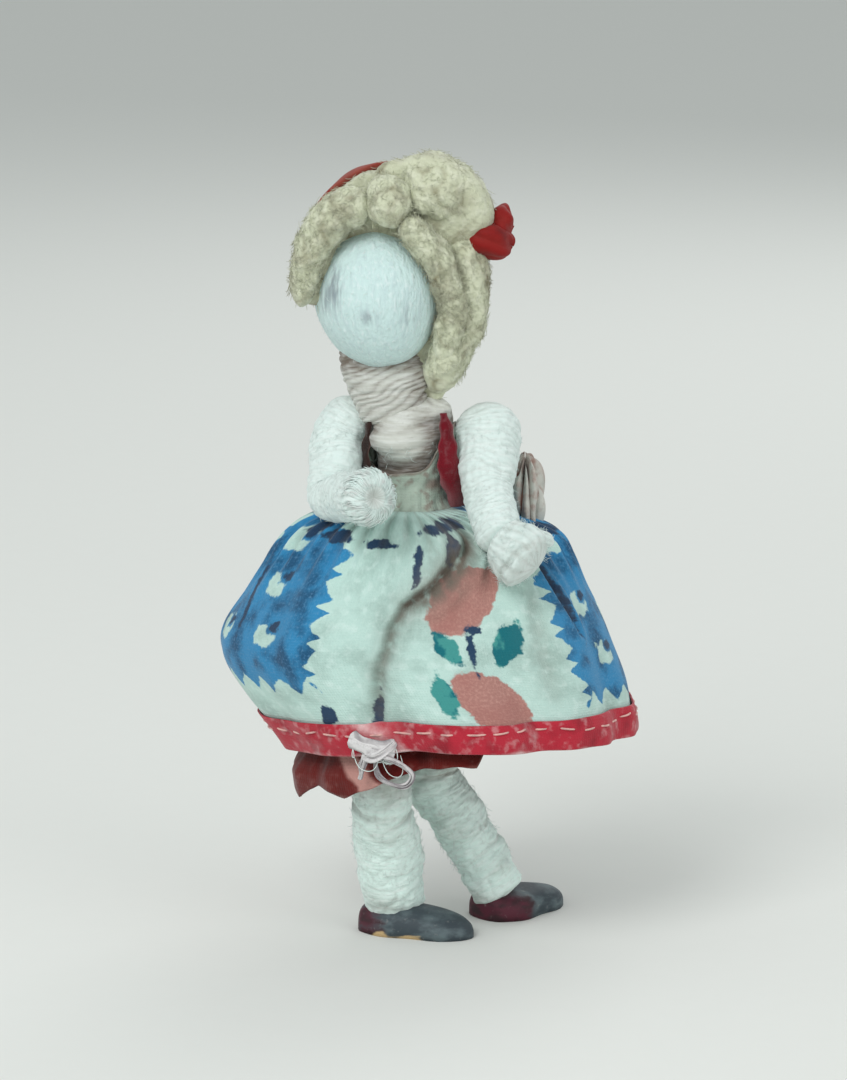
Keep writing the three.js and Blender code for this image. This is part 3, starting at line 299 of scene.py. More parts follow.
class DollColours(bpy.types.PropertyGroup):
    """Colours of the doll's threads, cloths, wool and paints."""
    cotton: tint("Cotton", "Winding of the arms and hands", 218, 233, 229)
    leg_cotton: tint("Leg cotton", "Cooler cotton wound round the legs", 220, 242, 235)
    # Painted shade: cotton_shade darkens the grooves, creases and clefts of the winding and its shaded
    # places, as well as its darker mottling
    cotton_shade: tint("Cotton shade", "Grooves and soiled places of the winding", 150, 150, 142)
    chest: tint("Chest thread", "Greyer thread of the chest and the neck", 200, 202, 194)
    # Painted shade in the grooves and shaded places of the chest and neck
    chest_shade: tint("Chest shade", "Grooves between the chest threads", 118, 108, 98)
    face: tint("Face", "Pale fibre of the head", 204, 228, 226)
    face_shade: tint("Face shade", "Grey smudges on the face", 136, 148, 154)
    wool: tint("Wool", "Hair on the lit side", 206, 210, 184)
    # Painted shade in the clefts of the wool and deep near the head
    wool_shade: tint("Wool shade", "Hair in the clefts", 112, 100, 70)
    ribbon: tint("Ribbon", "Bright red of the knot", 134, 6, 2)
    ribbon_faded: tint("Faded ribbon", "Worn red of the band", 150, 78, 66)
    ground: tint("Ground", "Pale ground of the print", 186, 215, 207)
    blue: tint("Blue", "Blue patches of the print", 50, 132, 180)
    blue_deep: tint("Deep blue", "Darker strokes in the blue patches", 30, 80, 116)
    pink: tint("Pink", "Blooms of the print", 170, 122, 114)
    teal: tint("Teal", "Leaves of the print", 66, 146, 142)
    teal_deep: tint("Deep teal", "Darker half of the leaves", 18, 106, 116)
    navy: tint("Navy", "Strokes of the print", 38, 64, 92)
    tape: tint("Hem tape", "Red tape at the hem", 178, 42, 58)
    tape_worn: tint("Worn tape", "Places where the tape has lost its red", 226, 196, 196)
    stitch: tint("Stitch", "Running stitches on the tape", 224, 176, 168)
    strap: tint("Strap", "Dark red strap", 112, 12, 28)
    petticoat: tint("Petticoat", "Red-brown cloth of the petticoat", 100, 24, 20)
    petticoat_worn: tint("Worn petticoat", "Streaks rubbed pale", 188, 140, 132)
    bodice: tint("Bodice", "Pale cloth of the bodice", 168, 182, 169)
    # The fray colour is also the painted shade in the heading's pleats
    fray: tint("Fray", "Frayed pinkish-brown edges of the heading", 150, 104, 92)
    shoe: tint("Shoe", "Slate paint of the shoes", 62, 72, 78)
    shoe_heel: tint("Shoe heel", "Burgundy paint at the heels", 86, 36, 50)
    shoe_bare: tint("Bare shoe", "Ochre body under the worn paint", 214, 184, 136)
    floor: tint("Floor", "Plain pale floor", 226, 228, 224)


class DollSizes(bpy.types.PropertyGroup):
    """Sizes of the winding, the hair and the cloth, in millimetres."""
    thread: millimetres("Thread pitch", "Turn to turn of the wound thread", 0.78)
    thread_depth: millimetres("Thread depth", "Depth of the groove between two turns", 0.13)
    band: millimetres("Cotton band", "Width of the cotton wound round the legs", 2.9)
    fuzz: millimetres("Fuzz", "Length of the loose fibres on the winding", 0.9)
    fuzz_radius: millimetres("Fuzz radius", "Radius of a loose fibre", 0.022)
    hair_radius: millimetres("Hair radius", "Radius of a loose fibre of wool", 0.03)
    tuft: millimetres("Tuft", "Size of a tuft of the wool hair", 3.1)
    cloth: millimetres("Cloth", "Thickness of the dress cotton", 0.3)
    tape_cloth: millimetres("Tape", "Thickness of the hem tape", 0.35)
    stitch_pitch: millimetres("Stitch pitch", "Stitch to stitch along the hem", 2.8)


def smoothstep(value, low, high):
    """Eases from 0 at low to 1 at high: 3t^2 - 2t^3 of the share t of the way."""
    share = np.clip((value - low) / (high - low), 0, 1)
    return share * share * (3 - 2 * share)


def bell(value, width):
    """1 at 0 and falling to both sides: exp of minus the square of the value in widths."""
    return np.exp(-(value / width) ** 2)


def dome(way, reach):
    """0 at an end and 1 from reach on, rising as a quarter ellipse."""
    return np.sqrt(1 - np.clip(1 - way / reach, 0, 1) ** 2)


def signed_power(value, power):
    """A power of the size, with the sign kept."""
    return np.sign(value) * np.abs(value) ** power


def turns(count):
    """Angles evenly round a turn."""
    return np.linspace(0, TURN, count, endpoint=False)


def degrees_from(place, heading):
    """Degrees from a place round to a heading, between -180 and 180."""
    return (heading - place + 180) % 360 - 180


def lengths_along(points):
    """Length of a path up to each of its points."""
    return np.concatenate([[0], np.cumsum(np.linalg.norm(np.diff(points, axis=0), axis=1))])


def flat_lay(first, second):
    """Weave coordinates from two grids, flat in the third."""
    return np.stack([first, second, np.zeros_like(first)], -1)


def unit(vectors):
    """Each vector over its own length."""
    vectors = np.asarray(vectors, float)
    return vectors / np.linalg.norm(vectors, axis=-1, keepdims=True)


def hermite(knots, places, at):
    """Cubic through knots at places, each slope the one between its neighbours, read at the values of at."""
    knots = np.asarray(knots, float)
    places = np.asarray(places, float)
    slopes = np.gradient(knots, places, axis=0)
    slopes[1:-1] = ((knots[2:] - knots[:-2]).T / (places[2:] - places[:-2])).T
    left = np.clip(np.searchsorted(places, at, side="right") - 1, 0, len(places) - 2)
    step = places[left + 1] - places[left]
    share = (at - places[left]) / step
    if knots.ndim > 1:
        share = share[..., None]
        step = step[..., None]
    cube, square = share ** 3, share ** 2
    return ((2 * cube - 3 * square + 1) * knots[left] + (cube - 2 * square + share) * step * slopes[left]
            + (3 * square - 2 * cube) * knots[left + 1] + (cube - square) * step * slopes[left + 1])


def ripple(turn, at, seed, tight=3, pace=1.0):
    """Smooth wandering of about 1: a sum of cosines, whole round the turn and of random pace along."""
    draw = np.random.default_rng(seed)
    rounds = draw.integers(-tight, tight + 1, WAVES)
    speeds = draw.uniform(-pace, pace, WAVES)
    phases = draw.uniform(0, TURN, WAVES)
    total = 0.0
    for round_count, speed, phase in zip(rounds, speeds, phases):
        total = total + np.cos(round_count * turn + speed * at + phase)
    return total / math.sqrt(WAVES)


def lattice_noise(points, seed):
    """Smooth noise of about -1 to 1: random slopes at whole-number corners, eased between the eight about a
    point."""
    slopes = unit(np.random.default_rng(seed).normal(size=(32, 32, 32, 3)))
    cell = np.floor(points).astype(int)
    inside = points - cell
    ease = inside ** 3 * (inside * (inside * 6 - 15) + 10)
    total = 0.0
    for corner in np.ndindex(2, 2, 2):
        weight = np.prod(np.where(corner, ease, 1 - ease), axis=-1)
        slope = slopes[tuple(np.moveaxis((cell + corner) % 32, -1, 0))]
        total = total + weight * np.einsum("...k,...k", slope, inside - corner)
    return 1.6 * total


def fleece(points, size, seed):
    """Tufts of wool from 0 in a cleft to about 1: the absolute value of noise, with smaller tufts on it."""
    broad = np.abs(lattice_noise(points / size, seed))
    small = np.abs(lattice_noise(points / (0.45 * size) + 7.3, seed + 1))
    tiny = np.abs(lattice_noise(points / (0.2 * size) + 3.1, seed + 2))
    return 1.4 * broad + 0.3 * small + 0.14 * tiny


def spine_through(points, radii, rows, reference=(0.0, 1.0, 0.0)):
    """A path through points at even steps: its places, radii, length along and two directions across it."""
    knots = np.column_stack([np.asarray(points, float), radii])
    fine = hermite(knots, np.arange(len(knots)), np.linspace(0, len(knots) - 1, 80 * len(knots)))
    along = lengths_along(fine[:, :3])
    at = np.linspace(0, along[-1], rows)
    even = np.column_stack([np.interp(at, along, fine[:, k]) for k in range(4)])
    path = even[:, :3]
    tangent = unit(np.gradient(path, axis=0))
    side = unit(np.cross(tangent, reference))
    return SimpleNamespace(at=at, path=path, radius=even[:, 3], side=side, over=np.cross(side, tangent),
                           tangent=tangent, length=along[-1])


def on_spine(spine, at, turn, radius):
    """Points off the spine: its place at each length, plus radius times cosine across and sine over."""
    def read(values):
        return np.stack([np.interp(at, spine.at, values[:, k]) for k in range(3)], -1)
    out = np.cos(turn)[..., None] * read(spine.side) + np.sin(turn)[..., None] * read(spine.over)
    return read(spine.path) + np.asarray(radius)[..., None] * out


def rounded_ends(spine, start, end):
    """Radii that close at both ends as quarter ellipses of the given lengths."""
    return np.maximum(spine.radius * dome(spine.at, start) * dome(spine.length - spine.at, end), 0.01)


def wound(spine, base, at, turn, relief):
    """Radii and points of a wound tube: the base plus the relief, which shrinks where the ends close."""
    radius = base[:, None] + relief * (base / spine.radius)[:, None]
    return radius, on_spine(spine, at, turn, radius)


def ball_grid(rows, cols, edge):
    """Polar angle and turn at each point of a ball's grid, open by edge at both poles."""
    polar = np.linspace(edge, math.pi - edge, rows)
    turn = turns(cols)
    return np.broadcast_arrays(polar[:, None], turn[None, :])


def upright_ball(polar, turn):
    """Points of a unit ball about its upright axis."""
    return np.stack([np.sin(polar) * np.cos(turn), np.sin(polar) * np.sin(turn), np.cos(polar)], -1)


def shell_rows(rows, back, out):
    """Rows of a closed cloth shell, as columns: shares from 0 to 1 outside and back again inside, and the
    distance out on each face. The numbers of rows, the shares of the way back and the distances are pairs."""
    share = np.concatenate([np.linspace(0, 1, rows[0]), np.linspace(*back, rows[1])])
    return share[:, None], np.repeat(out, rows)[:, None]


def headings(cols):
    """Headings in degrees round the skirt, from the back."""
    return np.linspace(-270, 90, cols, endpoint=False)


def tube_grid(spine, cols):
    """Length and turn at each point of a tube's grid."""
    turn = turns(cols)
    return np.broadcast_arrays(spine.at[:, None], turn[None, :])


def thread_relief(turn, at, pitch, starts, wander, seed):
    """Height of wound thread, 0 in a groove and 1 on a turn: |cos| of half the helix's phase, with drift."""
    drift = wander * ripple(turn, at, seed, tight=4, pace=2.2 / pitch ** 0.5)
    phase = TURN * (at + drift) / pitch - starts * turn
    return np.abs(np.cos(phase / 2)) ** 0.8


def band_relief(turn, at, width, seed):
    """Height of overlapping bands: a rising ramp over each band's width that drops at its ragged edge."""
    drift = 0.75 * ripple(turn, at, seed, tight=2, pace=0.5)
    drift = drift + 0.14 * ripple(turn, at, seed + 1, tight=9, pace=4)
    share = ((at + drift) / width - turn / TURN) % 1.0
    return share * (1 - smoothstep(share, 0.9, 1.0))


def crease_relief(turn, at, seed, count, width):
    """Depth of random creases: a Gaussian across a tilted ring, fading round the turn."""
    draw = np.random.default_rng(seed)
    total = np.zeros_like(turn)
    for _ in range(count):
        place = draw.uniform(at.min(), at.max())
        face = draw.uniform(0, TURN)
        lean, depth = draw.uniform(0.3, 1, 2)
        line = at - place - 1.3 * lean * np.sin(turn - face - 1) + 0.1 * np.cos(7 * turn)
        total -= depth * (0.5 + 0.5 * np.cos(turn - face)) ** 2 * bell(line, width)
    return total


def strand_rings(paths, radius, sides):
    """Thin tubes: a ring of sides about each point of each path, closing to a third at both ends."""
    tangent = unit(np.gradient(paths, axis=1))
    side = unit(np.cross(tangent, (0.37, 0.53, 0.76)))
    over = np.cross(tangent, side)
    angle = turns(sides)[:, None]
    thickness = np.full(paths.shape[:2], radius)
    thickness[:, [0, -1]] *= 0.33
    around = np.cos(angle) * side[:, :, None] + np.sin(angle) * over[:, :, None]
    return paths[:, :, None] + thickness[..., None, None] * around


def fuzz_paths(rings, count, length, seed, lift=0.35):
    """Short bowed fibres: each leaves a random grid point along the surface and rises as the square of its
    way."""
    draw = np.random.default_rng(seed)
    rows, cols = rings.shape[:2]
    row = draw.integers(2, rows - 2, count)
    col = draw.integers(0, cols, count)
    start = rings[row, col]
    out = unit(start - rings.mean(axis=1)[row])
    way = unit(np.cross(out, draw.normal(size=(count, 3))))
    reach = (length * draw.uniform(0.4, 1.3, count))[:, None, None]
    share = np.linspace(0, 1, 5)[None, :, None]
    sway = draw.uniform(-0.3, 0.3, count)[:, None, None]
    bow = unit(np.cross(out, way))[:, None] * np.sin(share * math.pi) * sway
    return start[:, None] + reach * (way[:, None] * share + out[:, None] * (lift * share ** 2 - 0.02) + bow)


def lofted_faces(shapes, rows, cols, looped):
    """Corners of the quads between rings, and of the faces on the end rings unless the rings are looped."""
    index = np.arange(shapes * rows * cols).reshape(shapes, rows, cols)
    across = np.roll(index, -1, axis=2)
    if looped:
        corners = [index, across, np.roll(across, -1, axis=1), np.roll(index, -1, axis=1)]
        caps = np.empty((0, cols), int)
    else:
        corners = [index[:, :-1], across[:, :-1], across[:, 1:], index[:, 1:]]
        caps = np.concatenate([index[:, 0, ::-1], index[:, -1]])
    return np.stack(corners, -1).reshape(-1, 4), caps


def enclosed(points, quads):
    """Six times the volume inside the quads: the triple products of both triangles of each, summed."""
    corner = points[quads] - points.mean(axis=0)
    return sum(np.einsum("ij,ij->", corner[:, 0], np.cross(corner[:, k], corner[:, k + 1])) for k in (1, 2))


def loft(name, rings, marks=None, looped=False):
    """Closed mesh from rings of points in millimetres: quads between rings, and a face on each end ring or,
    looped, quads from the last ring to the first. A leading axis holds several like shapes. Faces are turned
    outwards by the sign of the enclosed volume. Marks become point attributes."""
    rings = np.asarray(rings, float)
    if rings.ndim == 3:
        rings = rings[None]
    shapes, rows, cols = rings.shape[:3]
    quads, caps = lofted_faces(shapes, rows, cols, looped)
    points = rings.reshape(-1, 3)
    if enclosed(points, quads) < 0:
        quads, caps = quads[:, ::-1], caps[:, ::-1]
    mesh = bpy.data.meshes.new(name)
    loops = np.concatenate([quads.ravel(), caps.ravel()])
    totals = np.concatenate([np.full(len(quads), 4), np.full(len(caps), cols)])
    mesh.vertices.add(len(points))
    mesh.vertices.foreach_set("co", (points * MM).ravel())
    mesh.loops.add(len(loops))
    mesh.loops.foreach_set("vertex_index", loops)
    mesh.polygons.add(len(totals))
    mesh.polygons.foreach_set("loop_start", np.concatenate([[0], np.cumsum(totals)[:-1]]))
    mesh.polygons.foreach_set("use_smooth", np.ones(len(totals), bool))
    mesh.update(calc_edges=True)
    for label, values in (marks or {}).items():
        values = np.asarray(values, np.float32)
        vector = values.size == points.size
        layer = mesh.attributes.new(label, "FLOAT_VECTOR" if vector else "FLOAT", "POINT")
        layer.data.foreach_set("vector" if vector else "value", values.ravel())
    piece = bpy.data.objects.new(name, mesh)
    bpy.context.scene.collection.objects.link(piece)
    return piece


def fit(piece, maker, body=None, nodes=()):
    """Gives a piece its maker's finish, sets it in for its solids and rides it on a body."""
    piece.data.materials.append(made(maker))
    if nodes:
        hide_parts(*nodes)
    if body:
        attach(piece, body)
    return piece


class Finish:
    """A material under construction, on one Principled shader."""

    def __init__(self, name, roughness, sheen=0.0, specular=0.3):
        self.material = bpy.data.materials.new(name)
        self.material.use_nodes = True
        self.tree = self.material.node_tree
        self.shader = self.tree.nodes["Principled BSDF"]
        self.shader.inputs["Roughness"].default_value = roughness
        self.shader.inputs["Sheen Weight"].default_value = sheen
        self.shader.inputs["Sheen Roughness"].default_value = 0.5
        self.shader.inputs["Specular IOR Level"].default_value = specular

    def feed(self, socket, value):
        """Links a socket, or sets a constant on it."""
        if isinstance(value, bpy.types.NodeSocket):
            self.tree.links.new(value, socket)
        elif hasattr(value, "__len__") and len(value) == 3 and socket.type == "RGBA":
            socket.default_value = (*value, 1.0)
        else:
            socket.default_value = value

    def mark(self, name, vector=False):
        """Reads a point attribute as a number or a vector."""
        node = self.tree.nodes.new("ShaderNodeAttribute")
        node.attribute_name = name
        return node.outputs["Vector" if vector else "Fac"]

    def place(self):
        """Object coordinates, in metres."""
        return self.tree.nodes.new("ShaderNodeTexCoord").outputs["Object"]

    def noise(self, vector, scale, stretch=(1.0, 1.0, 1.0), detail=3.0):
        """Fractal noise on a vector that is first stretched."""
        mapping = self.tree.nodes.new("ShaderNodeMapping")
        mapping.inputs["Scale"].default_value = stretch
        self.feed(mapping.inputs["Vector"], vector)
        node = self.tree.nodes.new("ShaderNodeTexNoise")
        node.inputs["Scale"].default_value = scale
        node.inputs["Detail"].default_value = detail
        self.feed(node.inputs["Vector"], mapping.outputs["Vector"])
        return node.outputs[0]

    def weave(self, vector, pitch):
        """Plain weave: the product of two crossed sine waves, pitch apart."""
        crossed = []
        for direction in ("X", "Y"):
            node = self.tree.nodes.new("ShaderNodeTexWave")
            node.bands_direction = direction
            node.inputs["Scale"].default_value = 0.314 / pitch
            node.inputs["Distortion"].default_value = 0.6
            node.inputs["Detail"].default_value = 1.0
            self.feed(node.inputs["Vector"], vector)
            crossed.append(node.outputs["Fac"])
        return self.times(*crossed)

    def math(self, operation, first, second):
        """One Math node."""
        node = self.tree.nodes.new("ShaderNodeMath")
        node.operation = operation
        self.feed(node.inputs[0], first)
        self.feed(node.inputs[1], second)
        return node.outputs[0]

    def times(self, first, second):
        """The product of two values."""
        return self.math("MULTIPLY", first, second)

    def plus(self, first, second):
        """The sum of two values."""
        return self.math("ADD", first, second)

    def part(self, value, low, high, amount):
        """A smooth step from low to high, times an amount."""
        return self.times(self.between(value, low, high), amount)

    def between(self, value, low, high):
        """0 below low, 1 above high and smooth between."""
        node = self.tree.nodes.new("ShaderNodeMapRange")
        node.interpolation_type = "SMOOTHSTEP"
        node.inputs["From Min"].default_value = low
        node.inputs["From Max"].default_value = high
        self.feed(node.inputs["Value"], value)
        return node.outputs["Result"]

    def mix(self, factor, first, second):
        """First colour where the factor is 0, second where it is 1."""
        node = self.tree.nodes.new("ShaderNodeMix")
        node.data_type = "RGBA"
        self.feed(node.inputs[0], factor)
        self.feed(node.inputs[6], first)
        self.feed(node.inputs[7], second)
        return node.outputs[2]

    def over(self, first, second, value, low, high, amount=None):
        """The second colour over the first by a smooth step of a value, times an amount if one is given."""
        step = self.between(value, low, high) if amount is None else self.part(value, low, high, amount)
        return self.mix(step, first, second)

    def done(self, colour, height=None, strength=0.5, distance=0.15):
        """Links the colour and a bump of the height, its distance in millimetres."""
        self.feed(self.shader.inputs["Base Color"], colour)
        if height is not None:
            bump = self.tree.nodes.new("ShaderNodeBump")
            bump.inputs["Strength"].default_value = strength
            bump.inputs["Distance"].default_value = distance * MM
            self.feed(bump.inputs["Height"], height)
            self.feed(self.shader.inputs["Normal"], bump.outputs["Normal"])
        return self.material


def colours():
    """The doll's colours in this scene."""
    return bpy.context.scene.doll_colours


def sizes():
    """The doll's sizes in this scene."""
    return bpy.context.scene.doll_sizes


def made(maker):
    """The material named for its maker, made the first time it is asked for."""
    return bpy.data.materials.get(maker.__name__) or maker(maker.__name__)


def cotton_finish(name, base, shade, depth=0.45):
    """Wound cotton: painted shade in the grooves, darker flecks, the painted shade and mottling marked on
    each piece, lighter streaks round the limb and a fluffy bump.
    """
    finish = Finish(name, 0.92, sheen=0.25, specular=0.12)
    lay = finish.mark("lay", True)
    streak = finish.noise(lay, 2.2, (0.25, 0.25, 1.6), 4.0)
    fluff = finish.noise(lay, 1.9, detail=5.0)
    # Painted shade: the groove mark darkens the grooves, creases and clefts
    groove = finish.times(finish.mark("groove"), depth)
    dark = finish.plus(groove, finish.part(fluff, 0.5, 0.8, 0.22))
    # The piece's mark adds painted shade and darker mottling
    colour = finish.mix(finish.plus(dark, finish.mark("painted_shade_and_mottle")), base, shade)
    colour = finish.over(colour, (0.93, 0.96, 0.95), streak, 0.35, 0.75, 0.3)
    height = finish.plus(streak, finish.times(fluff, 0.8))
    return finish.done(colour, height, 0.55, 0.22)


def limb_cotton(name):
    """White cotton of the arms and hands."""
    return cotton_finish(name, colours().cotton, colours().cotton_shade)


def leg_cotton(name):
    """Cooler cotton of the legs."""
    return cotton_finish(name, colours().leg_cotton, colours().cotton_shade)


def chest_thread(name):
    """Greyer thread of the chest and neck."""
    return cotton_finish(name, colours().chest, colours().chest_shade, 0.85)


def fuzz_fibre(name):
    """Loose white fibres, a little darker at random along their length."""
    finish = Finish(name, 0.9, sheen=0.2, specular=0.1)
    fleck = finish.noise(finish.place(), 900.0)
    colour = finish.over(colours().cotton, (0.62, 0.66, 0.64), fleck, 0.4, 0.7)
    return finish.done(colour)


def face_fibre(name):
    """Pale fibre of the face: upright streaks, grey smudges and a fine felted bump."""
    finish = Finish(name, 0.85, sheen=0.2, specular=0.15)
    lay = finish.mark("lay", True)
    streak = finish.noise(lay, 1.9, (1.0, 1.0, 0.16), 4.0)
    felt = finish.noise(lay, 2.6, (1.0, 1.0, 0.6), 4.0)
    smudge = finish.times(finish.mark("smudge"), finish.between(streak, 0.3, 0.62))
    colour = finish.over(colours().face, (0.5, 0.63, 0.65), streak, 0.42, 0.72, 0.42)
    colour = finish.over(colour, (0.76, 0.86, 0.86), felt, 0.5, 0.7, 0.5)
    colour = finish.mix(smudge, colour, colours().face_shade)
    return finish.done(colour, finish.plus(streak, finish.times(felt, 1.1)), 0.75, 0.3)


def wool_fibre(name):
    """Cream wool: painted brown shade in the clefts, mottled, with a matted bump of curled fibres."""
    finish = Finish(name, 0.95, sheen=0.3, specular=0.05)
    place = finish.place()
    mat = finish.noise(place, 1100.0, detail=6.0)
    curl = finish.noise(place, 480.0, detail=4.0)
    broad = finish.noise(place, 170.0, detail=3.0)
    # Painted shade from the groove mark, mottled by noise
    dark = finish.plus(finish.times(finish.mark("groove"), 0.7), finish.part(curl, 0.5, 0.72, 0.35))
    dark = finish.plus(dark, finish.part(broad, 0.48, 0.7, 0.3))
    colour = finish.over(colours().wool, dye(222, 224, 204), mat, 0.45, 0.7, 0.5)
    colour = finish.mix(dark, colour, colours().wool_shade)
    return finish.done(colour, finish.plus(mat, curl), 1.0, 0.45)


def ribbon_red(name):
    """Red ribbon: a fine rib, faded where it is worn, with a soft gloss."""
    finish = Finish(name, 0.6, sheen=0.08, specular=0.25)
    lay = finish.mark("lay", True)
    rib = finish.weave(lay, 0.16)
    rub = finish.noise(finish.place(), 380.0, detail=4.0)
    colour = finish.over(colours().ribbon, dye(96, 3, 4), rub, 0.5, 0.8)
    worn = finish.times(finish.mark("worn"), finish.between(rub, 0.2, 0.55))
    colour = finish.mix(worn, colour, colours().ribbon_faded)
    return finish.done(colour, finish.plus(rib, rub), 0.35, 0.08)


def skirt_print(name):
    """Printed cotton: each figure's mark is the distance inside it, cut at a wavering edge, painted shade
    over all where it is marked.
    """
    finish = Finish(name, 0.88, sheen=0.2, specular=0.15)
    tone = colours()
    lay = finish.mark("lay", True)
    weave = finish.weave(lay, 0.3)
    mottle = finish.noise(lay, 0.3, detail=4.0)
    grain = finish.noise(lay, 3.2, detail=3.0)
    wobble = finish.noise(lay, 0.75, detail=2.0)
    bleed = finish.plus(finish.times(finish.math("SUBTRACT", grain, 0.5), 0.5),
                        finish.times(finish.math("SUBTRACT", wobble, 0.5), 1.3))

    def figure(mark):
        return finish.between(finish.plus(finish.mark(mark), bleed), -0.15, 0.15)

    colour = finish.over(tone.ground, dye(150, 176, 168), mottle, 0.4, 0.7, 0.6)
    colour = finish.over(colour, dye(208, 230, 224), wobble, 0.5, 0.72, 0.55)
    colour = finish.over(colour, dye(206, 228, 220), grain, 0.45, 0.75, 0.3)
    blue = finish.over(tone.blue, tone.blue_deep, mottle, 0.42, 0.68)
    blue = finish.over(blue, dye(92, 150, 192), grain, 0.45, 0.75, 0.4)
    teal = finish.over(tone.teal, tone.teal_deep, mottle, 0.46, 0.54)
    pink = finish.over(tone.pink, dye(190, 142, 132), grain, 0.4, 0.75)
    pink = finish.over(pink, dye(160, 104, 98), mottle, 0.4, 0.7, 0.5)
    for mark, ink in dict(blue=blue, pink=pink, teal=teal, navy=tone.navy).items():
        colour = finish.mix(figure(mark), colour, ink)
    # Painted shade of the creases, the gathers and a patch in front, broken up by noise
    painted_shade_and_mottle = finish.times(finish.mark("painted_shade_and_mottle"), finish.between(finish.noise(lay, 0.7, detail=4.0), 0.1, 0.6))
    colour = finish.mix(painted_shade_and_mottle, colour, dye(112, 104, 94))
    colour = finish.over(colour, dye(130, 140, 132), grain, 0.62, 0.8, 0.18)
    height = finish.plus(finish.times(weave, 0.5), grain)
    return finish.done(colour, height, 0.4, 0.14)


def plain_cloth(name, base, other, pitch, fleck):
    """Plain woven cloth: the other colour where it is worn or rubbed by noise, and in flecks. On the bodice,
    the heading and the frayed strips the worn mark also carries painted shade.
    """
    finish = Finish(name, 0.88, sheen=0.2, specular=0.15)
    lay = finish.mark("lay", True)
    weave = finish.weave(lay, pitch)
    rub = finish.noise(finish.place(), 420.0, detail=5.0)
    grain = finish.noise(finish.place(), 2600.0, detail=2.0)
    spot = finish.noise(finish.place(), 900.0, detail=4.0)
    # On the bodice, heading and frayed strips the worn mark is painted shade in their folds
    worn = finish.between(finish.plus(finish.mark("worn"), finish.times(rub, 0.8)), 0.55, 1.05)
    deep = tuple(0.5 * value for value in base)
    colour = finish.over(base, deep, rub, 0.45, 0.75, 0.7)
    colour = finish.over(colour, other, spot, 0.5, 0.72, fleck)
    colour = finish.mix(worn, colour, other)
    height = finish.plus(finish.times(weave, 0.5), finish.plus(grain, spot))
    return finish.done(colour, height, 0.45, 0.12)


def tape_red(name):
    """Red hem tape, rubbed pale in places."""
    return plain_cloth(name, colours().tape, colours().tape_worn, 0.32, 0.3)


def strap_red(name):
    """Dark red strap, brownish at its edges."""
    return plain_cloth(name, colours().strap, dye(126, 76, 80), 0.3, 0.55)


def strap_shade(name):
    """The strap in the crease of the arm: the strap darkened as painted shade."""
    return plain_cloth(name, dye(52, 34, 30), dye(92, 66, 60), 0.3, 0.0)


def petticoat_red(name):
    """Red-brown petticoat cloth with pale rubbed streaks."""
    return plain_cloth(name, colours().petticoat, colours().petticoat_worn, 0.34, 0.12)


def bodice_cloth(name):
    """Pale bodice cloth, with painted shade at the neckline's edge, in the gathers and beside the left
    strap's foot.
    """
    return plain_cloth(name, colours().bodice, dye(126, 106, 98), 0.3, 0.7)


def heading_cloth(name):
    """White heading of the skirt with frayed brownish edges, and the same brown as painted shade in its
    pleats.
    """
    return plain_cloth(name, dye(200, 200, 192), colours().fray, 0.3, 0.5)


def fray_cloth(name):
    """White frayed cloth, greyed at its ends, and darkened as painted shade in its folds."""
    return plain_cloth(name, dye(214, 212, 212), dye(140, 134, 138), 0.3, 0.5)


def stitch_thread(name):
    """Sewing thread: fine lighter and darker flecks, closest together upwards."""
    finish = Finish(name, 0.8, sheen=0.2, specular=0.15)
    fleck = finish.noise(finish.place(), 1500.0, (1.0, 1.0, 2.0), 3.0)
    colour = finish.over(colours().stitch, dye(190, 150, 146), fleck, 0.4, 0.7)
    return finish.done(colour, fleck, 0.4, 0.05)


def shoe_paint(name):
    """Brushed slate paint, burgundy at the heel, scuffed to the ochre body under the sole's edge."""
    finish = Finish(name, 0.6, specular=0.3)
    brush = finish.noise(finish.place(), 420.0, (1.0, 1.0, 2.2), 5.0)
    fine = finish.noise(finish.place(), 1900.0, detail=3.0)
    slate = finish.over(colours().shoe, dye(96, 110, 114), brush, 0.4, 0.7)
    heel = finish.over(colours().shoe_heel, dye(58, 34, 40), brush, 0.42, 0.66)
    rub = finish.times(finish.math("SUBTRACT", brush, 0.5), 1.1)
    colour = finish.mix(finish.between(finish.plus(finish.mark("heel"), rub), 0.35, 0.65), slate, heel)
    bare = finish.between(finish.plus(finish.mark("worn"), finish.times(rub, 1.6)), 0.5, 0.9)
    colour = finish.mix(bare, colour, colours().shoe_bare)
    colour = finish.over(colour, dye(150, 150, 146), fine, 0.6, 0.8, 0.35)
    return finish.done(colour, finish.plus(brush, finish.times(fine, 0.4)), 0.35, 0.15)


def wire_steel(name):
    """Drawn steel wire with dull streaks."""
    finish = Finish(name, 0.45, specular=0.5)
    finish.shader.inputs["Metallic"].default_value = 1.0
    streak = finish.noise(finish.place(), 900.0, (1.0, 1.0, 0.2), 3.0)
    colour = finish.over(dye(176, 176, 172), dye(126, 120, 112), streak, 0.35, 0.7)
    return finish.done(colour, streak, 0.2, 0.03)


def floor_paper(name):
    """Plain pale paper with a faint tooth."""
    finish = Finish(name, 0.9, specular=0.1)
    tooth = finish.noise(finish.place(), 300.0, detail=4.0)
    return finish.done(finish.mix(finish.times(tooth, 0.06), colours().floor, dye(200, 202, 198)))


def limb_marks(turn, at, radius, groove, painted_shade_and_mottle):
    """Marks of a wound limb: the grooves' painted shade, painted shade with mottling, and the lay on a
    straightened cylinder.
    """
    lay = np.stack([radius * np.cos(turn), radius * np.sin(turn), at], -1)
    return dict(groove=groove, painted_shade_and_mottle=painted_shade_and_mottle, lay=lay)


def add_fuzz(name, rings, count, seed, body, spread=1.0):
    """Loose fibres standing off a wound surface."""
    paths = fuzz_paths(rings, count, sizes().fuzz * spread, seed)
    piece = loft(name, strand_rings(paths, sizes().fuzz_radius, 3))
    return fit(piece, fuzz_fibre, body)


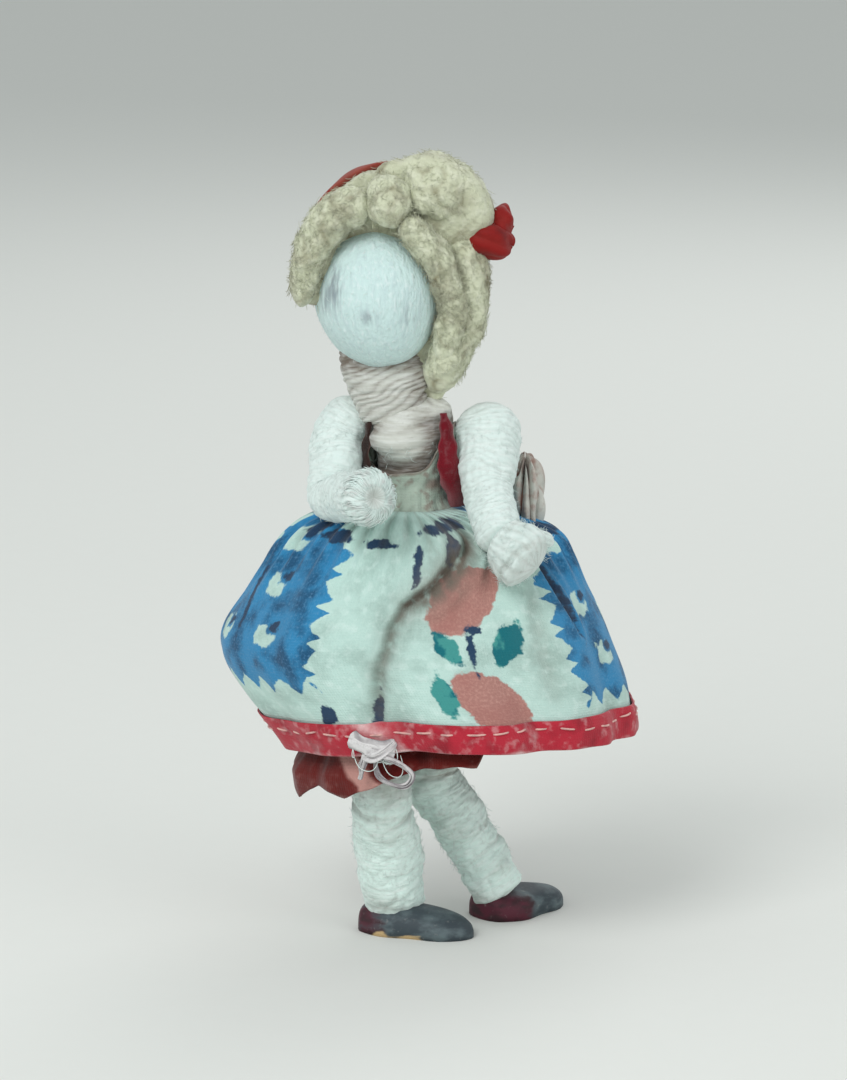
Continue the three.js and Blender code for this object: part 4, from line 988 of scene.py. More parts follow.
class DOLL_OT_legs(bpy.types.Operator):
    """Winds both legs with cotton from the hip to the shoe"""
    bl_idname = "doll.legs"
    bl_label = "Legs"

    def execute(self, context):
        for side, leg in LEGS.items():
            self.wind(side, leg)
        return {"FINISHED"}

    def wind(self, side, leg):
        """A tube through hip, knee and ankle: radius plus bands, threads, creases and slow lumps."""
        hip, knee, ankle = (np.array(leg[key]) for key in ("hip", "knee", "ankle"))
        hip, knee, foot = hip + leg["lean"], knee + leg["lean"], ankle + leg["shift"]
        shin = unit(foot - knee)
        points = [hip - LEG_END * unit(knee - hip), hip, 0.5 * (hip + knee), knee, 0.45 * knee + 0.55 * foot,
                  foot, foot + LEG_END * shin]
        spine = spine_through(points, [*THIGH_RADII, *leg["shin"]], 300)
        base = rounded_ends(spine, 3.0, 1.1)
        at, turn = tube_grid(spine, 96)
        seed = leg["seed"]
        thread = thread_relief(turn, at, sizes().thread, 1, 0.5, seed)
        band = band_relief(turn, at, sizes().band, seed + 2)
        crease = crease_relief(turn, at, seed + 3, 26, 0.32)
        lump = ripple(turn, at, seed + 4, tight=3, pace=1.4)
        tuft = fleece(on_spine(spine, at, turn, base[:, None] + 0 * at), 1.6, seed + 8)
        relief = 0.04 * (thread - 1) + 0.13 * (band - 0.5) + 0.2 * crease + 0.17 * lump + 0.22 * (tuft - 0.5)
        radius, rings = wound(spine, base, at, turn, relief)
        height = rings[..., 2]
        # Painted shadow under the petticoat at the top and painted shade where the leg enters the shoe, with
        # darker mottling on the lumps
        painted_shade_and_mottle = 0.45 * smoothstep(height, 15.0, 19.5) + 0.22 * smoothstep(lump, 0.2, 1.6)
        painted_shade_and_mottle = painted_shade_and_mottle + 0.25 * smoothstep(-height, -4.4, -2.4)
        # Painted shade in the thread grooves, creases, band edges and tuft clefts
        groove = 0.2 * (1 - thread) + 0.8 * smoothstep(-crease, 0.15, 0.9) + 0.3 * smoothstep(band, 0.75, 0.9)
        groove = groove + 0.45 * smoothstep(-tuft, -0.3, 0.0)
        piece = loft(f"{side}_leg", rings, limb_marks(turn, at, radius, groove, painted_shade_and_mottle))
        upper, lower = f"{side}_thigh", f"{side}_shin"
        fit(piece, leg_cotton, nodes=(f"{upper}_wrap", f"{lower}_wrap"))
        way = unit(unit(knee - hip) + shin)
        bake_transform(piece)
        below_petticoat = rings[170:270]
        add_fuzz(f"{side}_leg_fuzz", below_petticoat, 420, seed + 6, lower)


class DOLL_OT_shoes(bpy.types.Operator):
    """Moulds both shoes and marks where their paint is worn"""
    bl_idname = "doll.shoes"
    bl_label = "Shoes"

    def execute(self, context):
        for side, leg in LEGS.items():
            self.mould(side, leg)
        return {"FINISHED"}

    def mould(self, side, leg):
        """Sections along the heading: half width times cosine, height times the root of sine, flat below."""
        share = np.concatenate([[0.0, 0.006, 0.02], np.linspace(0.05, 0.95, 70), [0.98, 0.994, 1.0]])
        angle = turns(72)
        width = SHOE_HALF_WIDTH * hermite(SHOE_WIDTHS, SHOE_WIDTH_SHARES, share)
        height = SHOE_HEIGHT * hermite(SHOE_HEIGHTS, SHOE_HEIGHT_SHARES, share)
        shut = np.maximum(dome(share, 0.035) * dome(1 - share, 0.06), 0.05)
        grid, round_angle = np.broadcast_arrays(share[:, None], angle[None, :])
        lump = 1 + 0.02 * ripple(round_angle, 20 * grid, leg["seed"] + 9, tight=3, pace=0.5)
        across = (width * shut)[:, None] * np.cos(round_angle) * lump
        rise = signed_power(np.sin(round_angle), 0.5)
        top = (height * np.sqrt(shut))[:, None] * np.maximum(rise, 0) * lump
        welt = 0.35 * np.clip(-rise, 0, 1)
        across = across * (1 - 0.12 * welt)
        heel_end, toe_end = leg["shoe"]
        along = heel_end + (toe_end - heel_end) * grid
        heading = math.radians(leg["heading"])
        ankle = np.array(leg["ankle"])
        x = ankle[0] + along * math.cos(heading) - across * math.sin(heading)
        y = ankle[1] + along * math.sin(heading) + across * math.cos(heading)
        rings = np.stack([x, y, np.clip(top, 0, SHOE_HEIGHT)], -1)
        low = 1 - smoothstep(rings[..., 2], 0.2, 1.1)
        front = smoothstep(-y, -2.0, 6.0)
        if side == "right":
            heel = 0.62 * (1 - smoothstep(grid, 0.1, 0.62))
            scuffs = bell(grid - 0.28, 0.07) + 1.15 * bell(grid - 0.53, 0.17)
            worn = low * front * scuffs
        else:
            heel = 0.95 * (1 - smoothstep(grid, 0.18, 0.62)) * (1 - 0.5 * smoothstep(rings[..., 2], 1.6, 3.0))
            worn = 0.25 * low
        fit(loft(f"{side}_shoe_shell", rings, dict(heel=heel, worn=worn)),
            shoe_paint, f"{side}_foot", (f"{side}_shoe",))


class DOLL_OT_trunk(bpy.types.Operator):
    """Winds the chest and the neck with crumpled thread"""
    bl_idname = "doll.trunk"
    bl_label = "Chest and Neck"

    def execute(self, context):
        self.chest()
        self.neck()
        return {"FINISHED"}

    def chest(self):
        """Ellipses up the trunk, closed as domes, swelling in the neckline, under crossed threads, with
        painted shade round the swell.
        """
        height = np.linspace(CHEST_HEIGHTS[0], CHEST_TOP, 190)
        turn = turns(128)
        wide = hermite(CHEST_WIDE, CHEST_HEIGHTS, height)[:, None]
        deep = hermite(CHEST_DEEP, CHEST_HEIGHTS, height)[:, None]
        at, turn = np.broadcast_arrays(height[:, None], turn[None, :])
        close = np.maximum(dome(at - CHEST_HEIGHTS[0], 1.5) * dome(CHEST_TOP + 0.05 - at, 2.4), 0.02)
        first = thread_relief(turn, at, 0.85, 3, 0.8, 61)
        second = thread_relief(turn, at, 1.1, -5, 1.0, 62)
        crumple = ripple(turn, at, 63, tight=6, pace=2.4)
        swell = np.exp(-(np.angle(np.exp(1j * (turn + 1.9))) / 0.68) ** 2 - ((at - 56.2) / 2.3) ** 2)
        crease = crease_relief(turn, at, 67, 30, 0.38) * smoothstep(at, 51, 54)
        calm = 1 - 0.9 * swell
        thread = np.maximum(first, second * 0.9)
        relief = calm * (0.2 * (thread - 1) + 0.22 * crumple + 0.4 * crease) + 2.6 * swell
        x = BODY_X + (wide + relief) * close * np.cos(turn)
        y = (deep + relief) * close * np.sin(turn)
        rings = np.stack([x, y, at], -1)
        # Painted shade in the thread grooves and creases
        groove = calm * (0.6 * (1 - thread) + 0.5 * smoothstep(-crease, 0.2, 1.0))
        # Painted shade below the neckline, round the chest's swell and in the crumpled hollows
        ball = np.hypot(x + 3.5, at - 56.6)
        painted_shade_and_mottle = 0.9 * (1 - smoothstep(at, 52.6, 54.6))
        painted_shade_and_mottle = painted_shade_and_mottle + 0.85 * smoothstep(ball, 1.9, 3.7) * (1 - smoothstep(at, 57.5, 60))
        painted_shade_and_mottle = painted_shade_and_mottle + 0.15 * smoothstep(-crumple, 0.0, 1.4)
        fit(loft("chest_winding", rings, limb_marks(turn, at, wide, groove, painted_shade_and_mottle)),
            chest_thread, "torso", ("torso_wrap",))
        in_neckline = rings[126:152]
        add_fuzz("chest_fuzz", in_neckline, 90, 64, "torso")

    def neck(self):
        """A tube from the shoulders to the chin, hollowed in front under the chin, with slanting threads."""
        points = [NECK_PIVOT + NECK_AIM * rise for rise in NECK_RISES]
        spine = spine_through(points, NECK_RADII, 120)
        base = rounded_ends(spine, 1.4, 1.2)
        at, turn = tube_grid(spine, 120)
        thread = thread_relief(turn, at, 0.86, -13, 0.32, 65)
        lump = ripple(turn, at, 66, tight=4, pace=1.2)
        crease = crease_relief(turn, at, 68, 8, 0.3)
        relief = 0.2 * (thread - 1) + 0.16 * lump + 0.25 * crease
        radius, rings = wound(spine, base, at, turn, relief)
        under = 1 - 0.5 * smoothstep(at, 4.6, 8.2)
        rings[..., 1] = np.where(rings[..., 1] < 0, rings[..., 1] * under, rings[..., 1])
        # Painted shadow under the chin and painted shade on the +X side under the hair, over a slight
        # darkening all round; painted shade in the thread grooves
        painted_shade_and_mottle = 0.1 + 0.8 * smoothstep(at, 5.9, 7.9) + 0.5 * smoothstep(rings[..., 0], -3.5, -0.8)
        piece = loft("neck_winding", rings, limb_marks(turn, at, radius, 0.6 * (1 - thread), painted_shade_and_mottle))
        fit(piece, chest_thread, nodes=("neck_wrap",))
        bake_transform(piece)


class DOLL_OT_arms(bpy.types.Operator):
    """Winds both arms and their mitten hands"""
    bl_idname = "doll.arms"
    bl_label = "Arms and Hands"

    def execute(self, context):
        for side, arm in ARMS.items():
            self.wind(side, arm)
        self.right_hand()
        self.left_hand()
        return {"FINISHED"}

    def wrist(self, arm):
        """The forearm's end."""
        return np.array(arm["elbow"]) + FOREARM_LENGTH * unit(arm["fore"])

    def wind(self, side, arm):
        """A tube through shoulder, elbow and wrist: radius plus soft threads, creases and lumps."""
        shoulder, elbow, wrist = np.array(arm["shoulder"]), np.array(arm["elbow"]), self.wrist(arm)
        upper, fore = unit(elbow - shoulder), unit(wrist - elbow)
        points = [shoulder + arm["top"], shoulder, 0.5 * (shoulder + elbow), elbow,
                  0.5 * (elbow + wrist), wrist + 0.9 * fore]
        size = arm["radius"]
        middle = 0.5 * (size + 2.8) + 0.1
        spine = spine_through(points, [size, size, middle, *FOREARM_RADII], 170, (1.0, 0.3, 0.2))
        base = rounded_ends(spine, size, 1.4)
        at, turn = tube_grid(spine, 88)
        seed = arm["seed"]
        thread = thread_relief(turn, at, sizes().thread, 2, 0.45, seed)
        crease = crease_relief(turn, at, seed + 1, 9, 0.3)
        lump = ripple(turn, at, seed + 2, tight=3, pace=1.2)
        depth = (0.8 if side == "left" else 0.35) * sizes().thread_depth
        tuft = fleece(on_spine(spine, at, turn, base[:, None] + 0 * at), 1.5, seed + 8)
        relief = depth * (thread - 1) + 0.12 * crease + 0.1 * lump + 0.2 * (tuft - 0.5)
        radius, rings = wound(spine, base, at, turn, relief)
        # Painted shade at the arm's upper end by the shoulder, and in the grooves, creases and tuft clefts
        painted_shade_and_mottle = 0.18 * (1 - smoothstep(at, 0.5, 4.0))
        groove = 0.4 * (1 - thread) + 0.5 * smoothstep(-crease, 0.2, 0.9)
        groove = groove + 0.35 * smoothstep(-tuft, -0.3, 0.0)
        piece = loft(f"{side}_arm", rings, limb_marks(turn, at, radius, groove, painted_shade_and_mottle))
        first, second = f"{side}_upper_arm", f"{side}_forearm"
        fit(piece, limb_cotton, nodes=(f"{first}_wrap", f"{second}_wrap"))
        way = unit(upper + fore)
        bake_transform(piece)
        add_fuzz(f"{side}_arm_fuzz", rings[38:70], 90, seed + 4, first)
        add_fuzz(f"{side}_forearm_fuzz", rings[105:165], 140, seed + 5, second)

    def palm(self, side):
        """A hand's aim, its start inside the forearm and its spine."""
        arm, hand = ARMS[side], HANDS[side]
        aim = unit(arm["hand"])
        start = self.wrist(arm) - hand["sunk"] * aim
        points = [start + aim * way for way in hand["ways"]]
        return aim, start, spine_through(points, hand["radii"], 90, (0.2, 0.3, 1.0))

    def right_hand(self):
        """A wound ball: threads run lengthwise to a dimple at the end, where their cut ends spread."""
        aim, _, spine = self.palm("right")
        base = rounded_ends(spine, 0.8, 2.1)
        at, turn = tube_grid(spine, 110)
        wander = 0.35 * ripple(turn, at, 71, tight=3, pace=0.8)
        thread = np.abs(np.cos(11 * turn + 3 * wander)) ** 0.8
        rings = wound(spine, base, at, turn, 0.2 * (thread - 1) + 0.1 * wander)[1]
        dent = 0.75 * bell(base, 0.9) * smoothstep(spine.at, 3.0, 4.5)
        rings = rings - aim * dent[:, None, None]
        # Painted shade in the dimple at the hand's end and in the grooves between the threads
        painted_shade_and_mottle = 0.6 * bell(base, 1.3)[:, None] * smoothstep(at, 3.0, 4.5)
        marks = limb_marks(turn, 0.3 * at, np.full_like(at, 4.0), 0.7 * (1 - thread), painted_shade_and_mottle)
        fit(loft("right_mitten", rings, marks), limb_cotton, "right_forearm", ("right_hand",))
        self.cut_threads(spine, base)
        add_fuzz("right_mitten_fuzz", rings[8:70], 130, 73, "right_forearm")

    def cut_threads(self, spine, base):
        """Short threads that lie out from the dimple of the right hand and lift at their ends."""
        draw = np.random.default_rng(72)
        count = 90
        around = draw.uniform(0, TURN, count)[:, None]
        share = np.linspace(0, 1, 7)[None, :]
        reach = spine.length - 0.25 - share * draw.uniform(0.9, 2.2, count)[:, None]
        lift = 0.2 * share ** 3 * draw.uniform(0, 1, count)[:, None]
        width = np.interp(reach, spine.at, base) + 0.03 + lift
        paths = on_spine(spine, reach, around + 0.25 * np.sin(3 * share + around), width)
        tuft = loft("right_mitten_threads", strand_rings(paths, 0.075, 4))
        fit(tuft, fuzz_fibre, "right_forearm")

    def left_hand(self):
        """A mitten that spreads to a blunt end."""
        aim, start, spine = self.palm("left")
        base = rounded_ends(spine, 0.8, 1.3)
        at, turn = tube_grid(spine, 104)
        wander = ripple(turn, at, 75, tight=3, pace=0.9)
        thread = np.abs(np.cos(8 * turn + 0.9 * wander)) ** 0.9
        crease = crease_relief(turn, at, 76, 7, 0.35)
        relief = 0.14 * (thread - 1) + 0.22 * crease + 0.16 * wander
        radius, rings = wound(spine, base, at, turn, relief)
        # Darker towards the blunt end; painted shade in the grooves and creases
        painted_shade_and_mottle = 0.1 + 0.2 * smoothstep(at, 3.8, 5.4)
        groove = 0.6 * (1 - thread) + 0.5 * smoothstep(-crease, 0.2, 0.9)
        fit(loft("left_mitten", rings, limb_marks(turn, 0.3 * at, radius, groove, painted_shade_and_mottle)),
            limb_cotton, "left_forearm", ("left_hand",))
        rings_thumb = self.thumb(start + THUMB_ROOT * aim)
        add_fuzz("left_mitten_fuzz", rings[8:84], 420, 79, "left_forearm", spread=1.2)
        add_fuzz("left_thumb_fuzz", rings_thumb[6:46], 60, 80, "left_forearm", spread=1.1)

    def thumb(self, root):
        """The left hand's thumb lobe, from its root in the palm."""
        spine = spine_through(root + THUMB_POINTS, THUMB_RADII, 50, (0.1, 1.0, 0.2))
        base = rounded_ends(spine, 0.6, 0.8)
        at, turn = tube_grid(spine, 48)
        thread = np.abs(np.cos(4 * turn + ripple(turn, at, 77))) ** 0.9
        radius = base[:, None] * (1 + 0.09 * (thread - 1) + 0.06 * ripple(turn, at, 78))
        rings = on_spine(spine, at, turn, radius)
        # Painted shade in the grooves between the threads
        marks = limb_marks(turn, 0.3 * at, radius, 0.6 * (1 - thread), np.full_like(at, 0.1))
        fit(loft("left_mitten_thumb", rings, marks), limb_cotton, "left_forearm")
        return rings


class DOLL_OT_head(bpy.types.Operator):
    """Makes the blank fibre head"""
    bl_idname = "doll.head"
    bl_label = "Head"

    def execute(self, context):
        """An upright oval of latitude rings, fuller at the chin, with upright fibres and grey smudges."""
        polar, turn = ball_grid(150, 160, 0.004)
        out = upright_ball(polar, turn)
        chin = np.exp((out @ unit((0.34, -0.4, -0.85)) - 1) / 0.16)
        jowl = np.exp((out @ unit((-0.75, -0.3, -0.55)) - 1) / 0.1)
        felt = ripple(turn, 12 * polar, 81, tight=5, pace=0.5)
        fibre = np.abs(np.cos(34 * turn + 1.5 * ripple(turn, 5 * polar, 82, tight=3, pace=0.8)))
        radius = HEAD_RADIUS + 0.05 * felt + 0.06 * (fibre - 1) * np.sin(polar) + 0.35 * chin - 0.25 * jowl
        rings = HEAD + radius[..., None] * out * HEAD_OVAL
        smudge = np.zeros_like(polar)
        for x, z, wide, tall, depth in SMUDGES:
            spread = ((rings[..., 0] - x) / wide) ** 2 + ((rings[..., 2] - z) / tall) ** 2
            smudge += depth * np.exp(-spread) * (rings[..., 1] < 0)
        fit(loft("head_fibre", rings, dict(smudge=smudge, lay=out * HEAD_RADIUS)),
            face_fibre, "head", ("head_ball",))
        add_fuzz("head_fuzz", rings[30:140], 260, 83, "head", 0.55)
        return {"FINISHED"}


def lock_spine(lock, rows):
    """The path of a lock through its points about the head."""
    points = HEAD + HEAD_RADIUS * np.array(lock["points"])
    return spine_through(points, HEAD_RADIUS * np.array(lock["radii"]), rows, (0.3, 1.0, 0.25))


def wool_reach(out):
    """How far the matted wool reaches from the head's centre each way: the cap's ellipsoid, held back in
    front and below, joined by a soft maximum with balls strung along every lock, thinner at the right cheek,
    and sunk into the head at the face."""
    half, shift = HEAD_RADIUS * CAP_HALF, HEAD_RADIUS * CAP_SHIFT
    square = (out ** 2 / half ** 2).sum(-1)
    middle = (out * shift / half ** 2).sum(-1)
    cap = (middle + np.sqrt(middle ** 2 - square * ((shift ** 2 / half ** 2).sum() - 1))) / square
    front = -CAP_FRONT * HEAD_RADIUS / np.maximum(-out[..., 1], 0.001)
    foot = -CAP_FOOT * HEAD_RADIUS / np.maximum(-out[..., 2], 0.001)
    reaches = [(cap ** -8 + front ** -8 + foot ** -8) ** (-1 / 8)]
    for lock in LOCKS.values():
        spine = lock_spine(lock, 14)
        for centre, radius in zip(spine.path - HEAD, 0.92 * spine.radius):
            ahead = out @ centre
            spare = ahead ** 2 - centre @ centre + radius ** 2
            reaches.append(ahead + np.where(spare > 0, 1.0, -1.6) * np.sqrt(np.abs(spare)))
    reaches = np.stack(reaches)
    longest = reaches.max(axis=0)
    soft = 0.3
    full = longest + soft * np.log(np.exp((reaches - longest) / soft).sum(axis=0))
    right = smoothstep(-out[..., 0], 0.5, 0.8)
    low = smoothstep(-out[..., 2], 0.0, 0.25)
    full = full - 0.65 * right * low * (1 - smoothstep(out[..., 1], 0.3, 0.7))
    facing = out @ FACE_AIM - 0.22 * right * (1 - low)
    hidden = 0.86 * HEAD_RADIUS
    return hidden + (full - hidden) * smoothstep(-facing, -0.34, -0.12)


class DOLL_OT_hair(bpy.types.Operator):
    """Lays the wool hair: the cap behind, the rolled crown, the forelock and the side locks"""
    bl_idname = "doll.hair"
    bl_label = "Hair"

    def execute(self, context):
        for name, lock in LOCKS.items():
            self.lock(name, lock)
        self.cap()
        return {"FINISHED"}

    def lock(self, name, lock):
        """A tube through the lock's points whose radius swells with tufts of wool, and short fibres on it."""
        spine = lock_spine(lock, 120)
        base = rounded_ends(spine, 0.9 * spine.radius[0], 1.6 * spine.radius[-1])
        at, turn = tube_grid(spine, 96)
        seed = lock["seed"]
        lump = ripple(turn, at, seed + 100, tight=3, pace=1.3)
        tuft = fleece(on_spine(spine, at, turn, 0.9 * base[:, None] + 0 * at), sizes().tuft, seed)
        fine = lattice_noise(on_spine(spine, at, turn, base[:, None] + 0 * at) / 0.9, seed + 7)
        radius = base[:, None] * (0.98 + 0.1 * (tuft - 0.4) + 0.06 * lump) + 0.12 * fine
        rings = on_spine(spine, at, turn, radius)
        self.wool(f"{name}_wool", rings, tuft, (name,), seed, int(110 * spine.length))

    def wool(self, name, rings, tuft, nodes, seed, fibres, bare=0):
        """Matted wool from rings, with painted shade in its clefts and deep near the head, and loose fibres
        over all but the first bare rings and the tip."""
        near = np.linalg.norm((rings - HEAD) / HEAD_OVAL, axis=-1)
        # Painted shade: the groove mark darkens the clefts between tufts and the wool near the head
        groove = 0.55 * (1 - smoothstep(tuft, 0.0, 0.5)) ** 1.3 + 0.5 * (1 - smoothstep(near, 7.4, 9.0))
        fit(loft(name, rings, dict(groove=groove, lay=rings)), wool_fibre, "head", nodes)
        paths = fuzz_paths(rings[bare:-14], fibres, 1.1, seed + 300, 0.16)
        strands = strand_rings(paths, sizes().hair_radius, 3)
        fluff = loft(f"{name}_fibres", strands, dict(groove=np.full(strands.shape[:3], 0.1), lay=strands))
        fit(fluff, wool_fibre, "head")

    def cap(self):
        """The matted mass: a ball about an axis from face to nape, its radius the wool's reach plus tufts."""
        polar, turn = ball_grid(210, 300, 0.01)
        out = np.stack([np.sin(polar) * np.cos(turn), -np.cos(polar), np.sin(polar) * np.sin(turn)], -1)
        reach = wool_reach(out)
        tuft = fleece(reach[..., None] * out, 1.15 * sizes().tuft, 91)
        fine = lattice_noise(reach[..., None] * out / 0.9, 94)
        rings = HEAD + (reach + 0.4 * (tuft - 0.5) + 0.12 * fine)[..., None] * out
        self.wool("hair_cap_wool", rings, tuft, ("hair_cap",), 91, 5600, 64)


class DOLL_OT_ribbon(bpy.types.Operator):
    """Ties the red ribbon over the hair with a folded knot at its left"""
    bl_idname = "doll.ribbon"
    bl_label = "Ribbon"

    def execute(self, context):
        self.band()
        self.knot()
        return {"FINISHED"}

    def band(self):
        """A flat loop of ribbon over the cap: an arc of the grown ellipsoid's section, its ends sunk in."""
        middle = HEAD + HEAD_RADIUS * CAP_SHIFT
        offset = HEAD[1] + BAND_PLACE * HEAD_RADIUS
        angle = np.linspace(math.radians(-8), math.radians(186), 150)
        section = turns(40)
        grid, around = np.broadcast_arrays(angle[:, None], section[None, :])
        flat = signed_power(np.cos(around), 0.45)
        across = BAND_HALF * flat + 0.14 * np.sin(9 * grid)
        shrink = np.sqrt(1 - ((offset + across - middle[1]) / (HEAD_RADIUS * CAP_HALF[1] + 0.5)) ** 2)
        sunk = 1.1 * (1 - smoothstep(grid, -0.14, 0.2) * smoothstep(-grid, -3.25, -2.9))
        thick = np.where(np.sin(around) > 0, 0.2, 0.75) * np.sin(around)
        rise = BAND_RISE - sunk + thick + 0.14 * np.cos(3 * flat) * np.sin(7 * grid) - 0.12 * np.abs(flat)
        x = middle[0] + (HEAD_RADIUS * CAP_HALF[0] * shrink + rise) * np.cos(grid)
        z = middle[2] + (HEAD_RADIUS * CAP_HALF[2] * shrink + rise) * np.sin(grid)
        rings = np.stack([x, offset + across, z], -1)
        lay = flat_lay(across, 11 * grid)
        worn = 0.75 * smoothstep(grid, 1.0, 1.8)
        fit(loft("ribbon_loop", rings, dict(worn=worn, lay=lay)),
            ribbon_red, "head", ("ribbon_band",))

    def knot(self):
        """Two crushed loops: balls pleated about their axis, pinched where they meet."""
        shapes, folds, lays = [], [], []
        for place, half, tilt, seed in KNOT_LOOPS:
            polar, turn = ball_grid(70, 96, 0.01)
            pleat = np.abs(np.cos(2.5 * turn + 0.9 * ripple(turn, 3 * polar, seed, tight=2)))
            crush = ripple(turn, 5 * polar, seed + 5, tight=3)
            size = 1.1 + 0.16 * (pleat - 0.75) * np.sin(polar) + 0.08 * crush
            ball = np.stack([np.cos(polar), np.sin(polar) * np.cos(turn), np.sin(polar) * np.sin(turn)], -1)
            ball = ball * size[..., None] * HEAD_RADIUS * np.array(half)
            lean = math.radians(tilt)
            x = ball[..., 0] * math.cos(lean) + ball[..., 2] * math.sin(lean)
            z = ball[..., 2] * math.cos(lean) - ball[..., 0] * math.sin(lean)
            shapes.append(HEAD + HEAD_RADIUS * np.array(place) + np.stack([x, ball[..., 1], z], -1))
            folds.append(0.35 * (1 - pleat))
            lays.append(flat_lay(2.5 * turn, 3 * polar))
        fit(loft("ribbon_bow", np.stack(shapes), dict(worn=0.3 * np.stack(folds), lay=np.stack(lays))),
            ribbon_red, "head", ("ribbon_knot",))


def skirt_point(share, heading, out):
    """The skirt at a share of its length and a heading in degrees: an oval of the read reaches, drawn in at
    the folds, lifted at the hem to +X and in front, and moved outwards level by out millimetres."""
    angle = np.radians(heading)
    left, right, front, back = (reach * hermite(SKIRT_SPREAD[:, k + 1], SKIRT_SPREAD[:, 0], share)
                                for k, reach in enumerate(SKIRT_REACH))
    drawn = 0.0
    for place, depth, spread in SKIRT_FOLDS:
        drawn = drawn + depth * bell(degrees_from(place, heading), spread)
    drawn = drawn * smoothstep(share, 0.1, 0.85) - out
    x = (right - left) / 2 + ((left + right) / 2 - drawn) * np.cos(angle)
    y = (np.where(np.sin(angle) < 0, front, back) - drawn) * np.sin(angle)
    lift = HEM_TILT * np.cos(angle) + HEM_FRONT_RISE * np.maximum(0, -np.sin(angle)) ** 2
    z = WAIST + 0.6 * (1 - smoothstep(share, 0, 0.09)) - SKIRT_LENGTH * share + lift * share ** 2
    return np.stack([x, y, z], -1)


def gathers(share, heading):
    """Pleats at the waist, from -1 to 1: a cosine round the skirt whose pace wanders."""
    angle = np.radians(heading)
    return np.cos(38 * angle + 2.2 * ripple(angle, 9 * share, 101, tight=5))


def cloth_relief(share, heading):
    """Gathers at the waist that fade down, pressed creases, and a slow unevenness."""
    angle = np.radians(heading)
    relief = 0.5 * gathers(share, heading) * (1 - smoothstep(share, 0.03, 0.42))
    relief = relief * smoothstep(share, 0.0, 0.03)
    relief = relief + 0.3 * ripple(angle, 10 * share, 102, tight=7, pace=0.8) * smoothstep(share, 0.03, 0.3)
    relief = relief + 0.09 * ripple(angle, 26 * share, 103, tight=22, pace=1.0)
    for place, depth, width, _ in crease_gaps(share, heading):
        relief = relief - depth * bell(place.gap, width) * place.fade
        relief = relief + 0.5 * depth * bell(place.gap - 1.9 * width, width) * place.fade
    return relief


def crease_gaps(share, heading):
    """Distance to each pressed crease, a chain of straight runs on the flattened skirt, and a fade at its
    ends as the root of a sine."""
    for chain, depth, width, dark in SKIRT_CREASES:
        chain = np.array(chain)
        flat = np.stack([0.34 * degrees_from(chain[0, 0], heading), SKIRT_LENGTH * share], -1)
        knots = np.column_stack([0.34 * (chain[:, 0] - chain[0, 0]), SKIRT_LENGTH * chain[:, 1]])
        gap, place = np.full(share.shape, 99.0), np.zeros(share.shape)
        for step, (start, end) in enumerate(zip(knots, knots[1:])):
            way = end - start
            along = np.clip((flat - start) @ way / (way @ way), 0, 1)
            away = np.linalg.norm(flat - start - along[..., None] * way, axis=-1)
            place = np.where(away < gap, (step + along) / (len(knots) - 1), place)
            gap = np.minimum(gap, away)
        fade = np.sqrt(np.sin(math.pi * (0.06 + 0.88 * place)))
        yield SimpleNamespace(gap=gap, fade=fade), depth, width, dark


def mirrored_lay(heading, share, radius):
    """Weave coordinates that run both ways round from the back, so they meet without a step."""
    away = np.abs(degrees_from(90, heading))
    return flat_lay(np.radians(away) * radius, share * SKIRT_LENGTH)


def flat_figure(along, down, half_length, half_width, tilt, point):
    """Distance inside a leaf or bloom, in millimetres: an ellipse's scaled radius, pointed a little, taken
    from 1."""
    lean = math.radians(tilt)
    first = (along * math.cos(lean) + down * math.sin(lean)) / half_length
    second = (down * math.cos(lean) - along * math.sin(lean)) / half_width
    return (1 - np.sqrt(first ** 2 + second ** 2 + point * np.abs(first * second))) * half_width


def print_marks(share, heading, spread):
    """Distances inside the print's figures: saw-edged blue patches less notched spots, and flower groups.
    Spread is the millimetres round the skirt for one degree at each point."""
    bare = np.full(share.shape, -9.0)
    marks = dict(blue=bare, pink=bare, teal=bare, navy=bare)
    down = share * SKIRT_LENGTH
    for middle, half, foot in PATCHES:
        away = degrees_from(middle, heading)
        pace = down + 0.4 * np.sin(1.7 * down + middle)
        saw = np.abs((pace / 2.1 + 0.2 * np.sign(away)) % 1.0 - 0.5) * 3.2 - 0.8
        tooth = np.abs((away / 10.5 + 0.1 * np.sin(0.2 * away)) % 1.0 - 0.5) * 3.6
        half = half * (1.0 - 0.1 * smoothstep(share, 0.5, 0.78) - 0.25 * (1 - smoothstep(share, 0.02, 0.16)))
        sides = (half - np.abs(away)) * spread + saw
        below = (foot - share) * SKIRT_LENGTH + tooth - 0.9
        marks["blue"] = np.maximum(marks["blue"], np.minimum(sides, below))
    for middle, level in SPOTS:
        along = degrees_from(middle, heading) * spread
        fall = (share - level) * SKIRT_LENGTH
        block = np.maximum(np.abs(along) / 1.15, np.abs(fall))
        square = 1.35 - block - 0.25 * np.minimum(np.abs(along), np.abs(fall))
        notch = 0.75 - np.maximum(np.abs(along - 0.85), np.abs(fall + 0.75))
        marks["blue"] = np.minimum(marks["blue"], -np.minimum(square, -notch))
        marks["navy"] = np.maximum(marks["navy"], 0.55 - np.hypot(along - 0.95, fall + 0.8))
    for middle in FLOWERS:
        for kind, aside, level, half_length, half_width, tilt in FLOWER_FIGURES:
            along = degrees_from(middle + aside, heading) * spread
            fall = (share - level) * SKIRT_LENGTH * (1 + 0.6 * (1 - smoothstep(share, 0.05, 0.25)))
            point = 0.15 if kind == "pink" else 0.75
            figure = flat_figure(along, fall, half_length, half_width, tilt, point)
            marks[kind] = np.maximum(marks[kind], figure)
    return {kind: np.clip(values, -2, 2) for kind, values in marks.items()}


